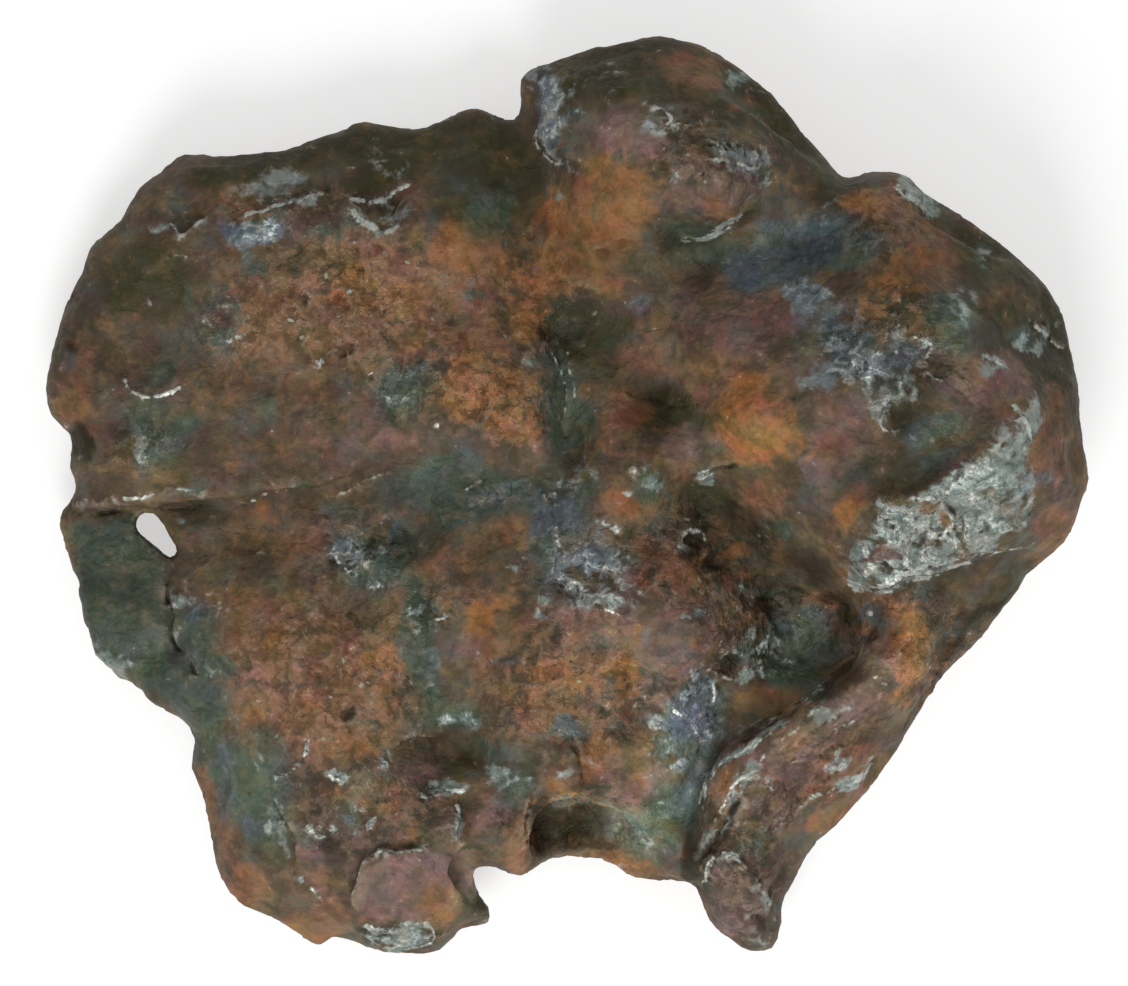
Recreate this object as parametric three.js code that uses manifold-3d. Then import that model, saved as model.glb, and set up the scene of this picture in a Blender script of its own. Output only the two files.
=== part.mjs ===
import * as THREE from 'three';
import { mergeVertices } from 'three/addons/utils/BufferGeometryUtils.js';
import { SimplifyModifier } from 'three/addons/modifiers/SimplifyModifier.js';
import Module from 'manifold-3d';

// A weathered iron meteorite, one solid lump lying on its back. Millimetres, +Z up. The table is the
// plane z = 0 and the origin lies under the middle of the lump. +X runs from the thin flange with its
// hole to the thick lobes, and -Y is the side of the broken edge and the hook.

// Driving sizes
const length = 239;
const width = 210.5;
const tallest = 70;       // no part of the lump stands higher than this
const netStep = 2.4;      // grid spacing of the first, fine surface
const faceBudget = 9400;  // triangles left after thinning it out
const crust = { colour: 0x6b4a35, roughness: 0.7, metalness: 0.35 };

// The edge of the lump from above, as points on one closed smooth curve, clockwise from the west tip
const outline = [
  [-119.5, 23.5], [-119, 29.5], [-117, 37.5], [-115, 43.5], [-112.5, 49], [-110.5, 53], [-109.5, 57],
  [-106.5, 60], [-102.5, 63.5], [-100.5, 67], [-98, 71], [-93.5, 74.5], [-90, 77.5], [-87, 79],
  [-79, 78], [-72, 79], [-64.5, 79.5], [-57, 82.5], [-51, 84], [-48, 86], [-42.5, 85.5],
  [-35.5, 84.5], [-29.5, 85.5], [-22, 89], [-18.5, 88], [-15, 86.5], [-11.5, 86.5], [-10, 90],
  [-10.5, 94.5], [-8.5, 97.5], [-3, 100], [5.5, 102.5], [13.5, 104], [21, 105.5], [27, 104.5],
  [33.5, 102], [41, 97], [48, 91.5], [53, 85], [58, 79], [63.5, 73], [68, 74], [73.5, 74.5],
  [78, 73.5], [82.5, 69], [88.5, 65.5], [96.5, 60], [103.5, 54.5], [109.5, 48.5], [113.5, 42],
  [115, 36], [116.5, 29], [117.5, 24], [117.5, 18.5], [118.5, 10], [119.5, 3.5], [117.5, -2],
  [115.5, -8], [111.5, -13], [105.5, -18], [102, -23.5], [96.5, -30.5], [89.5, -38], [84.5, -43],
  [80.5, -50], [75, -59], [69, -67.5], [63, -74], [57, -79.5], [54, -84], [51.5, -89.5],
  [49.5, -93], [49, -98.5], [48, -103], [45.5, -104.5], [41.5, -104.5], [38.5, -102], [34.5, -99],
  [32, -95], [30.5, -90], [27, -88.5], [20.5, -88], [15, -87.5], [11.5, -85], [8, -83.5],
  [2.5, -82.5], [-4.5, -83.5], [-8, -86], [-11.5, -87], [-14.5, -85.5], [-18.5, -84.5],
  [-21.5, -85.5], [-21.5, -89], [-19.5, -93], [-16.5, -97], [-20, -98.5], [-24, -99.5],
  [-27.5, -103], [-30.5, -105], [-37, -105], [-43, -104.5], [-49, -102.5], [-53.5, -101],
  [-57, -103], [-60.5, -101], [-65, -98], [-70, -95.5], [-74.5, -94], [-77.5, -90.5], [-80, -86],
  [-81, -80.5], [-82.5, -74.5], [-83.5, -69], [-85.5, -64], [-86, -60], [-85.5, -57],
  [-86.5, -53.5], [-90.5, -49.5], [-96, -47], [-98.5, -44], [-102.5, -41.5], [-107, -38],
  [-109, -34.5], [-110, -30.5], [-112, -25.5], [-112, -20], [-113.5, -16], [-115, -11.5],
  [-116.5, -6], [-115, -2.5], [-113, 0], [-112.5, 3], [-114, 7.5], [-113.5, 11.5], [-114.5, 15],
  [-118, 18.5],
];

// The hole through the flange: [x, y, radius] of its two round ends, and the height that the cut spans
const hole = { wide: [-96, -6.5, 3.1], narrow: [-91, -12.5, 2.1], from: -10, to: 50, arcSteps: 7 };

// Heights of the upper face above the table, [x, y, z]
const upperFace = [
  // the west slab, then its flange
  [-105, 45, 24], [-84, 70.5, 26], [-93.5, 36, 24], [-72.5, 49.5, 30], [-50, 72, 30],
  [-34, 78, 27], [-48, 80, 24], [-18, 80, 27], [-49.5, 45, 33], [-31.5, 54.5, 35],
  [-26.5, 26.5, 37], [-20, 68, 33], [-102.5, 13, 22],
  [-77.5, 17.5, 27], [-54.5, 17.5, 31], [-10.5, 17.5, 38], [-61, 5, 27], [-109.5, 3.5, 19],
  [-107, -8, 16], [-102.5, -28.5, 15], [-95.5, -42.5, 14], [-84, -8, 20],
  // the trough below the crease, then the south-west block
  [-70.5, -10, 25], [-49.5, -10, 27], [-26.5, -10, 29], [-8.5, -5.5, 33], [-72.5, -31, 29],
  [-54.5, -42.5, 33], [-33.5, -33, 32], [-49.5, -60.5, 33], [-72.5, -65.5, 26], [-79.5, -77, 20],
  [-26.5, -58.5, 26], [-29, -72, 34], [-66, -88.5, 24], [-38, -88.5, 31], [-38, -101, 22],
  [-15, -74.5, 33],
  // the middle and the valleys round it
  [-15, -33, 36], [-1.5, -44.5, 38], [8, -14.5, 40], [17, -33, 42], [26, -14.5, 41],
  [31, -33, 42], [12.5, -60.5, 36], [28.5, -51.5, 34], [26, -70, 28], [17, 15, 42], [1, 36, 34],
  [20.5, 21, 36], [0, 15, 34], [-7, 68, 34], [12.5, 45, 38], [31, 54.5, 38],
  // the north lobe, then the east lobe with its worn facet
  [8, 94, 42], [26, 97, 44], [20, 87, 51], [12.5, 77.5, 52], [8, 63.5, 48], [34.5, 70.5, 57],
  [47, 79.5, 52], [54, 72.5, 46], [51.5, 56.5, 44], [70, 67, 50], [77, 49.5, 58],
  [88, 55, 52], [103, 44, 52], [90.5, 36, 62], [104.5, 24, 58], [72, 26.5, 60], [58.5, 36, 54],
  [42.5, 15, 52],
  [31, 33.5, 46], [67.5, 8.5, 58], [86, 13, 62], [60.5, -5.5, 50], [100, 3.5, 60],
  [86, -8, 52], [70, -14.5, 47], [109, -5.5, 44], [95, -21.5, 34], [77, -26, 44],
  // the dark basin, then the folded limb down to its hook
  [51.5, -24, 24], [60.5, -33, 20], [44.5, -14.5, 32], [35.5, -3, 35], [44.5, -37.5, 27],
  [37.5, -47, 30], [72, -37.5, 46], [58.5, -49, 44], [70, -56, 36], [49, -60.5, 42],
  [54, -72, 34], [42.5, -74.5, 38], [37.5, -90.5, 30], [44.5, -102, 22],
  // the thin broken edge of the alcove
  [-1.5, -80, 14], [8, -80, 13], [19.5, -81.5, 17],
];

// Heights of the underside. Where one is below the table, the lump rests on it
const underside = [
  [68, 14, -2.5], [-55, -28, -2.5], [-8, 56, -2.5], [60, 10, -1.5], [74, 20, -1.5],
  [-84, 22, 3], [-95.5, -24, 6], [-49.5, 56.5, 3], [-22, -24, 4], [-61, -70, 5], [14, 76, 6],
  [8, 10, 4.5], [31, -47, 5], [62, 52, 4], [96, 10, 5], [66, -22, 4], [72, -47, 8], [40, -88.5, 9],
  [-45, 12, 4], [-33.5, -81.5, 6], [8, -79, 3], [-34, 38, 2], [-76, -46, 5], [38, 2, 4],
  [22, 44, 3], [-100, 44, 5], [0, -50, 5],
];

// How the edge turns over, [x, y, height of the girth, radius above it, radius below it]
const edgeStations = [
  [-116.5, 33.5, 12, 12, 10], [-114, -8, 10, 5, 6], [-105, -37.5, 9, 4, 6],
  [-84, -60.5, 10, 6, 7], [-75, -93, 11, 9, 8], [-56.5, -102, 10, 6, 7], [-36, -105, 12, 8, 8],
  [-18.5, -96.5, 12, 4, 5], [-15, -85.5, 16, 5, 6], [-1.5, -83, 5, 3, 4], [19.5, -88, 8, 5, 5],
  [40, -103.5, 12, 5, 8], [50.5, -92, 16, 10, 10], [65.5, -72, 18, 12, 12],
  [83.5, -44.5, 18, 10, 14], [102, -24, 20, 14, 16], [118, 3.5, 28, 18, 20],
  [113.5, 40.5, 28, 28, 20], [90.5, 63.5, 26, 24, 18], [72, 74, 26, 16, 16],
  [63, 72.5, 22, 16, 14], [47, 92, 26, 26, 20], [21.5, 105, 24, 28, 18], [-8.5, 97, 22, 20, 16],
  [-11.5, 86.5, 18, 12, 12], [-33.5, 84.5, 16, 24, 12], [-61, 80.5, 15, 18, 10],
  [-89, 78.5, 13, 12, 10], [-107, 59, 12, 14, 10],
];

// Long ridges and grooves: a rise of so much along a line, falling away over a reach
const swells = [
  { name: 'green groove', rise: -3, reach: 3.5, line: [[-1.5, 38], [-1, 26.5], [-1, 17.5], [2, 9.5]] },
  { name: 'lobe valley', rise: -3, reach: 8, line: [[-11, 86], [-7, 72.5], [-8.5, 59], [-1.5, 43]] },
  { name: 'valley under the lobe', rise: -2.5, reach: 8,
    line: [[8, 40], [22, 50], [36, 55], [48, 65], [58, 69]] },
  { name: 'basin channel', rise: -5, reach: 6, line: [[28.5, -1], [38, -8], [51.5, -24], [60.5, -33]] },
  { name: 'slab ridge', rise: 2, reach: 7, line: [[-60, 42], [-42, 36], [-26, 30], [-10, 22]] },
  { name: 'limb crest', rise: 3, reach: 5, line: [[72, -38], [58, -50], [46, -59], [40, -72]] },
  { name: 'limb gutter', rise: -3, reach: 4, line: [[60, -41], [46, -50], [33, -58], [27, -72]] },
  { name: 'limb furrow', rise: -3, reach: 3.5, line: [[70, -50], [60, -57], [51, -66]] },
  { name: 'limb shoulder', rise: 2, reach: 4, line: [[72, -58], [62, -65], [54, -74]] },
  { name: 'hook crest', rise: 2, reach: 3, line: [[36, -82], [44, -89], [46.5, -97]] },
  { name: 'facet crest', rise: 2.5, reach: 4, line: [[106, 20], [96, 9], [86, 1.5], [70, -3], [64, -13]] },
  { name: 'block ridge', rise: 2, reach: 6, line: [[-60, -32], [-58, -50], [-44, -66], [-30, -76]] },
  { name: 'seam', rise: -1.5, reach: 2.5,
    line: [[-91, -15], [-90.5, -30], [-83.5, -44], [-75, -60], [-63, -80]] },
];

// Steps: one side of a line stands higher by a drop that dies away over a reach. Going along the line,
// that is the left side, or the right one where the drop is negative
const ledges = [
  { name: 'crease', drop: -5, reach: 10, lip: 1.2,
    line: [[-40, 8], [-61, 2], [-84, -0.5], [-102.5, -2.5], [-116, -3.5]] },
  { name: 'limb wall', drop: -10, reach: 8, lip: 2,
    line: [[29, -84], [32, -68], [36, -59], [48, -51.5], [64, -39.5], [71, -32]] },
  { name: 'facet ledge', drop: -6, reach: 8, lip: 1.2,
    line: [[112, -12], [94, -13.5], [78, -18.5], [68, -21], [62, -17]] },
  { name: 'boss rim', drop: -4, reach: 6, lip: 1.2, line: [[42, 66], [35, 61], [27.5, 59], [25, 63]] },
  { name: 'lobe ledge', drop: 4, reach: 5, lip: 1.2, line: [[-6, 88], [-6, 79.5], [4.5, 75.5]] },
  { name: 'slab lip', drop: 3, reach: 5, lip: 1.2,
    line: [[-34, 72], [-42, 60.5], [-49.5, 67], [-61, 67.5], [-76, 63.5]] },
  { name: 'west lip', drop: 3, reach: 5, lip: 1.2, line: [[-82, 64], [-88, 59.5], [-93, 62]] },
  { name: 'pit lip', drop: 3, reach: 5, lip: 1.2, line: [[-40, -58], [-34, -54.5], [-27, -54]] },
  { name: 'oval flake', drop: -3, reach: 6, lip: 1.2,
    line: [[-50, -96], [-47.5, -86], [-41, -81], [-31, -80]] },
  { name: 'notch wall', drop: -3, reach: 5, lip: 1.2, line: [[-25, -68], [-25.5, -80]] },
];

// Thumbprints and pits of the upper face: middle, half axes, turn in degrees, depth (a boss is negative)
const thumbprints = [
  [-94, 35, 16, 12, 20, 3], [-88, 69, 12, 8, 15, 2.5], [-65, 56, 14, 9, 10, 2], [-42, 67, 9, 6, -20, 2.5],
  [-78, 30, 10, 8, 0, 1.5], [-104, 60, 9, 7, 40, 1.5], [-56, 28, 11, 8, 30, 1.5], [-30, 44, 12, 8, -30, 1.5],
  [-100, -18, 8, 9, 0, 1.5], [-93, -36, 9, 6, 40, 1.5], [-38, -9, 14, 8, 10, 2.5], [-70, -8, 12, 7, 0, 1.5],
  [-24, -58, 12, 8, -10, 3], [-48, -24, 11, 9, 0, 2], [-64, -48, 8, 7, 30, 1.5], [-52, -76, 10, 8, 20, 1.5],
  [-12, -20, 10, 8, 0, 1.5], [-4, -58, 10, 8, 20, 2], [16, -50, 9, 8, 0, 2], [20, -8, 9, 8, 20, 1.5],
  [33, -14, 9, 7, -40, 3], [20, 22, 10, 8, 30, 1.5], [16, 66, 9, 12, 0, -2], [35, 70, 10, 9, 20, -2.5],
  [4, 88, 9, 7, 20, 2], [30, 88, 12, 8, -20, 1.5], [55, 58, 14, 9, 20, 2.5], [70, 66, 5, 5, 0, -2.5],
  [42, 17, 9, 9, 0, -2.5], [62, 38, 9, 8, 0, 2], [86, 50, 9, 8, 30, 2], [84, 30, 10, 8, 0, 2],
  [76, 19, 5, 6, 0, 2.5], [100, 34, 9, 8, 40, 1.5], [60, 14, 9, 7, 0, 1.5], [92, -4, 10, 6, 30, 1],
  [48, -38, 9, 7, 0, 2], [84, -30, 9, 5, 50, 1.5],
];

// Hollows eaten into the lump, round boxes and balls: middle, half axes, turn, and how square they are
const scoops = [
  { name: 'alcove', at: [1.5, -82, 21], half: [9, 13, 11], turn: 12, square: 3 },
  { name: 'alcove corner', at: [-3, -76, 15], half: [6, 7, 7], turn: -20, square: 2.5 },
  { name: 'alcove shoulder', at: [9, -78, 22], half: [7, 7, 9], turn: 30, square: 2.2 },
  { name: 'under the facet', at: [65, -30, 25], half: [7, 6, 5], turn: 40, square: 2 },
];

// Rounded dents under the edge and on the underside, laid out on a sunflower spiral
const dents = {
  count: 26, spacing: 21.5, squash: 0.88, size: 16, sizeStep: 5, depth: 3.6, height: 3, turn: 1.3,
};

// Low waves over the whole surface, as [wavelength, height], each made of plane waves that cross
const weave = { planes: 5, climb: 1.7, spread: 0.13, shift: 2.1 };
const waves = { upper: [[31, 0.8], [17, 0.45]], under: [[36, 1.2], [19, 0.6]], side: [[30, 3.4], [15, 1.2]] };

const goldenAngle = Math.PI * (3 - Math.sqrt(5));
const lineStep = 2.5;     // spacing of the points on a ridge, groove or step
const ledgeEnd = 0.15;    // share of a step's line over which it fades in and out
const printDepth = 1.35;  // how much deeper the thumbprints are than their list says
const scoopLip = 2.5;     // rounding of the lip of a hollow
const stationReach = 3;   // an edge station holds about this far round it
const girthBand = 8;      // the edge keeps its outline: dents grow in over this height from the girth
const thinnest = 3;       // least thickness on either side of the girth

function smoothMax(a, b, blend) {
  const overlap = Math.max(0, blend - Math.abs(a - b)) / blend;
  return Math.max(a, b) + overlap * overlap * blend / 4;
}

// Solves matrix * answer = right by elimination, with the largest pivot first
function solve(matrix, right) {
  const rows = matrix.map((row, i) => [...row, right[i]]);
  const size = rows.length;
  for (let column = 0; column < size; column++) {
    let pivot = column;
    for (let i = column + 1; i < size; i++) {
      if (Math.abs(rows[i][column]) > Math.abs(rows[pivot][column])) pivot = i;
    }
    [rows[column], rows[pivot]] = [rows[pivot], rows[column]];
    for (let i = column + 1; i < size; i++) {
      const share = rows[i][column] / rows[column][column];
      for (let k = column; k <= size; k++) rows[i][k] -= share * rows[column][k];
    }
  }
  const answer = new Array(size).fill(0);
  for (let i = size - 1; i >= 0; i--) {
    const known = answer.reduce((sum, value, k) => sum + value * rows[i][k], 0);
    answer[i] = (rows[i][size] - known) / rows[i][i];
  }
  return answer;
}

// A thin elastic sheet pinned at scattered heights. Gives back its height at any x, y
function pinnedSheet(spots) {
  const reach = 100;
  const bend = (dx, dy) => {
    const square = (dx * dx + dy * dy) / (reach * reach);
    return square > 0 ? square * Math.log(square) : 0;
  };
  const count = spots.length;
  const plane = spots.map(([x, y]) => [1, x / reach, y / reach]);
  const matrix = spots.map(([x, y], i) => [...spots.map(([u, v]) => bend(x - u, y - v)), ...plane[i]]);
  for (const k of [0, 1, 2]) matrix.push([...plane.map((row) => row[k]), 0, 0, 0]);
  const weights = solve(matrix, [...spots.map(([, , z]) => z), 0, 0, 0]);
  return (x, y) => {
    let height = weights[count] + (weights[count + 1] * x + weights[count + 2] * y) / reach;
    for (let i = 0; i < count; i++) height += weights[i] * bend(x - spots[i][0], y - spots[i][1]);
    return height;
  };
}

// A smooth curve through a few points, as close points with the heading at each
function smoothLine(line) {
  const curve = new THREE.CatmullRomCurve3(line.map(([x, y]) => new THREE.Vector3(x, y, 0)));
  const steps = Math.ceil(curve.getLength() / lineStep);
  const points = curve.getSpacedPoints(steps);
  const headings = points.map((p, i) => (
    points[Math.min(i + 1, steps)].clone().sub(points[Math.max(i - 1, 0)]).normalize()
  ));
  return { points, headings, box: new THREE.Box3().setFromPoints(points) };
}

// Where a point lies beside a smooth line: distance, side (+1 on the left) and place along it, 0 to 1
function besideLine({ points, headings }, x, y) {
  const best = { gap: Infinity, side: 1, along: 0 };
  for (let i = 0; i + 1 < points.length; i++) {
    const [dx, dy] = [points[i + 1].x - points[i].x, points[i + 1].y - points[i].y];
    const [px, py] = [x - points[i].x, y - points[i].y];
    const share = THREE.MathUtils.clamp((px * dx + py * dy) / (dx * dx + dy * dy), 0, 1);
    const [offX, offY] = [px - share * dx, py - share * dy];
    const gap = Math.hypot(offX, offY);
    if (gap >= best.gap) continue;
    const headingX = headings[i].x + share * (headings[i + 1].x - headings[i].x);
    const headingY = headings[i].y + share * (headings[i + 1].y - headings[i].y);
    best.gap = gap;
    best.side = headingX * offY - headingY * offX < 0 ? -1 : 1;
    best.along = (i + share) / (points.length - 1);
  }
  return best;
}

const isFar = ({ box }, reach, x, y) => (
  x < box.min.x - reach || x > box.max.x + reach || y < box.min.y - reach || y > box.max.y + reach
);

function swellAt({ smooth, rise, reach }, x, y) {
  if (isFar(smooth, 3 * reach, x, y)) return 0;
  return rise * Math.exp(-((besideLine(smooth, x, y).gap / reach) ** 2));
}

function ledgeAt({ smooth, drop, reach, lip }, x, y) {
  if (isFar(smooth, 5 * reach, x, y)) return 0;
  const { gap, side, along } = besideLine(smooth, x, y);
  const ends = Math.min(1, along / ledgeEnd) * Math.min(1, (1 - along) / ledgeEnd);
  return 0.5 * drop * side * Math.tanh(gap / lip) * Math.exp(-gap / reach) * ends;
}

function thumbprintAt([cx, cy, a, b, turn, depth], x, y) {
  const angle = THREE.MathUtils.degToRad(turn);
  const u = ((x - cx) * Math.cos(angle) + (y - cy) * Math.sin(angle)) / a;
  const v = ((y - cy) * Math.cos(angle) - (x - cx) * Math.sin(angle)) / b;
  const left = Math.max(0, 1 - u * u - v * v);
  return -printDepth * depth * left * left;
}

// A few plane waves crossing at golden-angle turns, between about -1 and 1
function ripple(x, y, z, wavelength) {
  let sum = 0;
  for (let i = 0; i < weave.planes; i++) {
    const turn = i * goldenAngle + wavelength;
    const along = x * Math.cos(turn) + y * Math.sin(turn) + z * Math.sin(weave.climb * turn);
    sum += Math.sin(2 * Math.PI * along / (wavelength * (1 + weave.spread * i)) + weave.shift * i);
  }
  return sum / Math.sqrt(weave.planes);
}

const addWaves = (list, x, y, z) => list.reduce((sum, [size, rise]) => sum + rise * ripple(x, y, z, size), 0);

// The smooth closed curve through the outline, stretched to the driving length and width
function makeRim() {
  const corners = outline.map(([x, y]) => new THREE.Vector3(x, y, 0));
  const points = new THREE.CatmullRomCurve3(corners, true, 'catmullrom', 0.5).getPoints(outline.length * 3);
  const box = new THREE.Box3().setFromPoints(points);
  const size = box.getSize(new THREE.Vector3());
  const middle = box.getCenter(new THREE.Vector3());
  return points.map((p) => [(p.x - middle.x) * length / size.x, (p.y - middle.y) * width / size.y]);
}

const rim = makeRim();
const upperSheet = pinnedSheet(upperFace);
const underSheet = pinnedSheet(underside);
for (const stroke of [...swells, ...ledges]) stroke.smooth = smoothLine(stroke.line);

// Distance to the rim, positive inside it
function insetAt(x, y) {
  let nearest = Infinity;
  let inside = false;
  for (let i = 0; i + 1 < rim.length; i++) {
    const [ax, ay] = rim[i];
    const [bx, by] = rim[i + 1];
    const [dx, dy] = [bx - ax, by - ay];
    const share = THREE.MathUtils.clamp(((x - ax) * dx + (y - ay) * dy) / (dx * dx + dy * dy || 1), 0, 1);
    nearest = Math.min(nearest, Math.hypot(x - ax - share * dx, y - ay - share * dy));
    if ((ay > y) !== (by > y) && x < ax + (y - ay) * dx / dy) inside = !inside;
  }
  return inside ? nearest : -nearest;
}

// Everything that depends on x and y alone
function planAt(x, y) {
  let total = 0;
  const edge = [0, 0, 0];
  for (const [sx, sy, ...values] of edgeStations) {
    const weight = 1 / ((x - sx) ** 2 + (y - sy) ** 2 + stationReach ** 2) ** 2;
    total += weight;
    values.forEach((value, i) => { edge[i] += weight * value; });
  }
  const [girth, topRound, underRound] = edge.map((sum) => sum / total);
  let top = upperSheet(x, y) + addWaves(waves.upper, x, y, 0);
  for (const swell of swells) top += swellAt(swell, x, y);
  for (const ledge of ledges) top += ledgeAt(ledge, x, y);
  for (const print of thumbprints) top += thumbprintAt(print, x, y);
  const bottom = underSheet(x, y) + addWaves(waves.under, x, y, 7);
  return {
    inset: insetAt(x, y), girth, topRound, underRound,
    top: Math.max(top, girth + thinnest), bottom: Math.min(bottom, girth - thinnest),
  };
}

function scoopAt({ at, half, turn, square }, x, y, z) {
  const angle = THREE.MathUtils.degToRad(turn);
  const [dx, dy, dz] = [x - at[0], y - at[1], z - at[2]];
  const u = Math.abs(dx * Math.cos(angle) + dy * Math.sin(angle)) / half[0];
  const v = Math.abs(dy * Math.cos(angle) - dx * Math.sin(angle)) / half[1];
  const size = (u ** square + v ** square + (Math.abs(dz) / half[2]) ** square) ** (1 / square);
  return (size - 1) * Math.min(...half);
}

// Depth of the sunflower dents at a point of the lower half
function dentAt(x, y, z) {
  let depth = 0;
  for (let i = 0; i < dents.count; i++) {
    const radius = dents.spacing * Math.sqrt(i + 0.5);
    const turn = i * goldenAngle + dents.turn;
    const size = dents.size + dents.sizeStep * Math.sin(2.4 * i);
    const square = (x - radius * Math.cos(turn)) ** 2 + (y - dents.squash * radius * Math.sin(turn)) ** 2
      + (z - dents.height) ** 2;
    depth = Math.max(depth, dents.depth * Math.max(0, 1 - square / size ** 2));
  }
  return depth;
}

// Rough distance out of the iron, negative inside it. The plan values are passed in, to work them out once
function ironAt(plan, x, y, z) {
  const above = z > plan.girth;
  const half = above ? plan.top - plan.girth : plan.girth - plan.bottom;
  const radius = above ? plan.topRound : plan.underRound;
  const offGirth = THREE.MathUtils.smoothstep(Math.abs(z - plan.girth), 0, girthBand);
  const sideDent = offGirth * Math.max(0, addWaves(waves.side, x, y, z));
  const rise = Math.abs(z - plan.girth) / half;
  const over = Math.max(0, 1 - (plan.inset - sideDent) / radius);
  const share = (rise * rise + 1e-4) / (rise * rise + over * over + 1e-4);
  let solid = (Math.hypot(rise, over) - 1) * (half * share + radius * (1 - share));
  if (!above) solid += offGirth * dentAt(x, y, z);
  for (const scoop of scoops) solid = smoothMax(solid, -scoopAt(scoop, x, y, z), scoopLip);
  return solid;
}

const iron = (x, y, z) => ironAt(planAt(x, y), x, y, z);

// Where the field is negative at two opposite corners of a grid square alone, makes a third negative
// too, so that the iron never meets itself along a single edge
function joinCorners(field, counts) {
  const strides = [1, counts[0], counts[0] * counts[1]];
  let joined = 0;
  for (const [u, v] of [[strides[0], strides[1]], [strides[1], strides[2]], [strides[0], strides[2]]]) {
    for (let n = 0; n + u + v < field.length; n++) {
      const inside = [n, n + u, n + u + v, n + v].map((place) => field[place] < 0);
      if (inside[0] !== inside[2] || inside[1] !== inside[3] || inside[0] === inside[1]) continue;
      field[inside[0] ? n + u : n] = -0.01;
      joined++;
    }
  }
  return joined;
}

// A closed net of quads, halved to triangles, round the space where the field is negative
function wrapField(low, high, step) {
  const counts = low.map((value, i) => Math.ceil((high[i] - value) / step) + 1);
  const [nx, ny, nz] = counts;
  const field = new Float32Array(nx * ny * nz);
  const place = (i, j, k) => (k * ny + j) * nx + i;
  for (let j = 0; j < ny; j++) {
    for (let i = 0; i < nx; i++) {
      const [x, y] = [low[0] + i * step, low[1] + j * step];
      const plan = planAt(x, y);
      for (let k = 0; k < nz; k++) field[place(i, j, k)] = ironAt(plan, x, y, low[2] + k * step);
    }
  }
  while (joinCorners(field, counts) > 0);
  const corners = [0, 1, 2, 3, 4, 5, 6, 7].map((c) => [c & 1, (c >> 1) & 1, c >> 2]);
  const edges = [];
  for (let a = 0; a < 8; a++) {
    for (const bit of [1, 2, 4]) if (!(a & bit)) edges.push([a, a | bit]);
  }
  const positions = [];
  const cellVertex = new Int32Array(field.length).fill(-1);
  for (let k = 0; k + 1 < nz; k++) {
    for (let j = 0; j + 1 < ny; j++) {
      for (let i = 0; i + 1 < nx; i++) {
        const values = corners.map(([a, b, c]) => field[place(i + a, j + b, k + c)]);
        const sum = [0, 0, 0];
        let crossings = 0;
        for (const [a, b] of edges) {
          if ((values[a] < 0) === (values[b] < 0)) continue;
          const share = values[a] / (values[a] - values[b]);
          for (let axis = 0; axis < 3; axis++) {
            sum[axis] += corners[a][axis] + share * (corners[b][axis] - corners[a][axis]);
          }
          crossings++;
        }
        if (!crossings) continue;
        cellVertex[place(i, j, k)] = positions.length / 3;
        [i, j, k].forEach((cell, axis) => positions.push(low[axis] + step * (cell + sum[axis] / crossings)));
      }
    }
  }
  const index = [];
  const around = [[1, 2], [2, 0], [0, 1]];
  for (let k = 1; k + 1 < nz; k++) {
    for (let j = 1; j + 1 < ny; j++) {
      for (let i = 1; i + 1 < nx; i++) {
        const here = field[place(i, j, k)] < 0;
        for (let axis = 0; axis < 3; axis++) {
          const next = [i, j, k].map((value, n) => value + (n === axis ? 1 : 0));
          if ((field[place(...next)] < 0) === here) continue;
          const [u, v] = around[axis];
          const ring = [[0, 0], [1, 0], [1, 1], [0, 1]].map(([a, b]) => {
            const cell = [i, j, k];
            cell[u] -= a;
            cell[v] -= b;
            return cellVertex[place(...cell)];
          });
          if (!here) ring.reverse();
          index.push(ring[0], ring[1], ring[2], ring[0], ring[2], ring[3]);
        }
      }
    }
  }
  const geometry = new THREE.BufferGeometry();
  geometry.setAttribute('position', new THREE.Float32BufferAttribute(positions, 3));
  geometry.setIndex(index);
  return geometry;
}

// Slides every vertex along the field's slope until it lies on the surface
function settle(geometry, passes) {
  const position = geometry.getAttribute('position');
  const nudge = 0.05;
  for (let pass = 0; pass < passes; pass++) {
    for (let n = 0; n < position.count; n++) {
      const [x, y, z] = [position.getX(n), position.getY(n), position.getZ(n)];
      const plan = planAt(x, y);
      const value = ironAt(plan, x, y, z);
      const slope = [
        (iron(x + nudge, y, z) - value) / nudge,
        (iron(x, y + nudge, z) - value) / nudge,
        (ironAt(plan, x, y, z + nudge) - value) / nudge,
      ];
      const steep = slope[0] ** 2 + slope[1] ** 2 + slope[2] ** 2 + 0.05;
      const move = THREE.MathUtils.clamp(value, -1, 1) / steep;
      position.setXYZ(n, x - move * slope[0], y - move * slope[1], z - move * slope[2]);
    }
  }
  return geometry;
}

// The hole's prism: the two round ends and the straight tangents between them
function makeHole() {
  const [wx, wy, wide] = hole.wide;
  const [nx, ny, narrow] = hole.narrow;
  const heading = Math.atan2(ny - wy, nx - wx);
  const lean = Math.acos((wide - narrow) / Math.hypot(nx - wx, ny - wy));
  const shape = new THREE.Shape();
  shape.absarc(wx, wy, wide, heading + lean, heading - lean + 2 * Math.PI, false);
  shape.absarc(nx, ny, narrow, heading - lean, heading + lean, false);
  const prism = new THREE.ExtrudeGeometry(shape, {
    depth: hole.to - hole.from, bevelEnabled: false, curveSegments: hole.arcSteps,
  });
  return prism.translate(0, 0, hole.from);
}

// Everything under the table, which cuts the three worn flats that the lump lies on
function makeFloorBlock() {
  return new THREE.BoxGeometry(2 * length, 2 * width, tallest).translate(0, 0, -tallest / 2);
}

const wasm = await Module();
wasm.setup();

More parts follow.
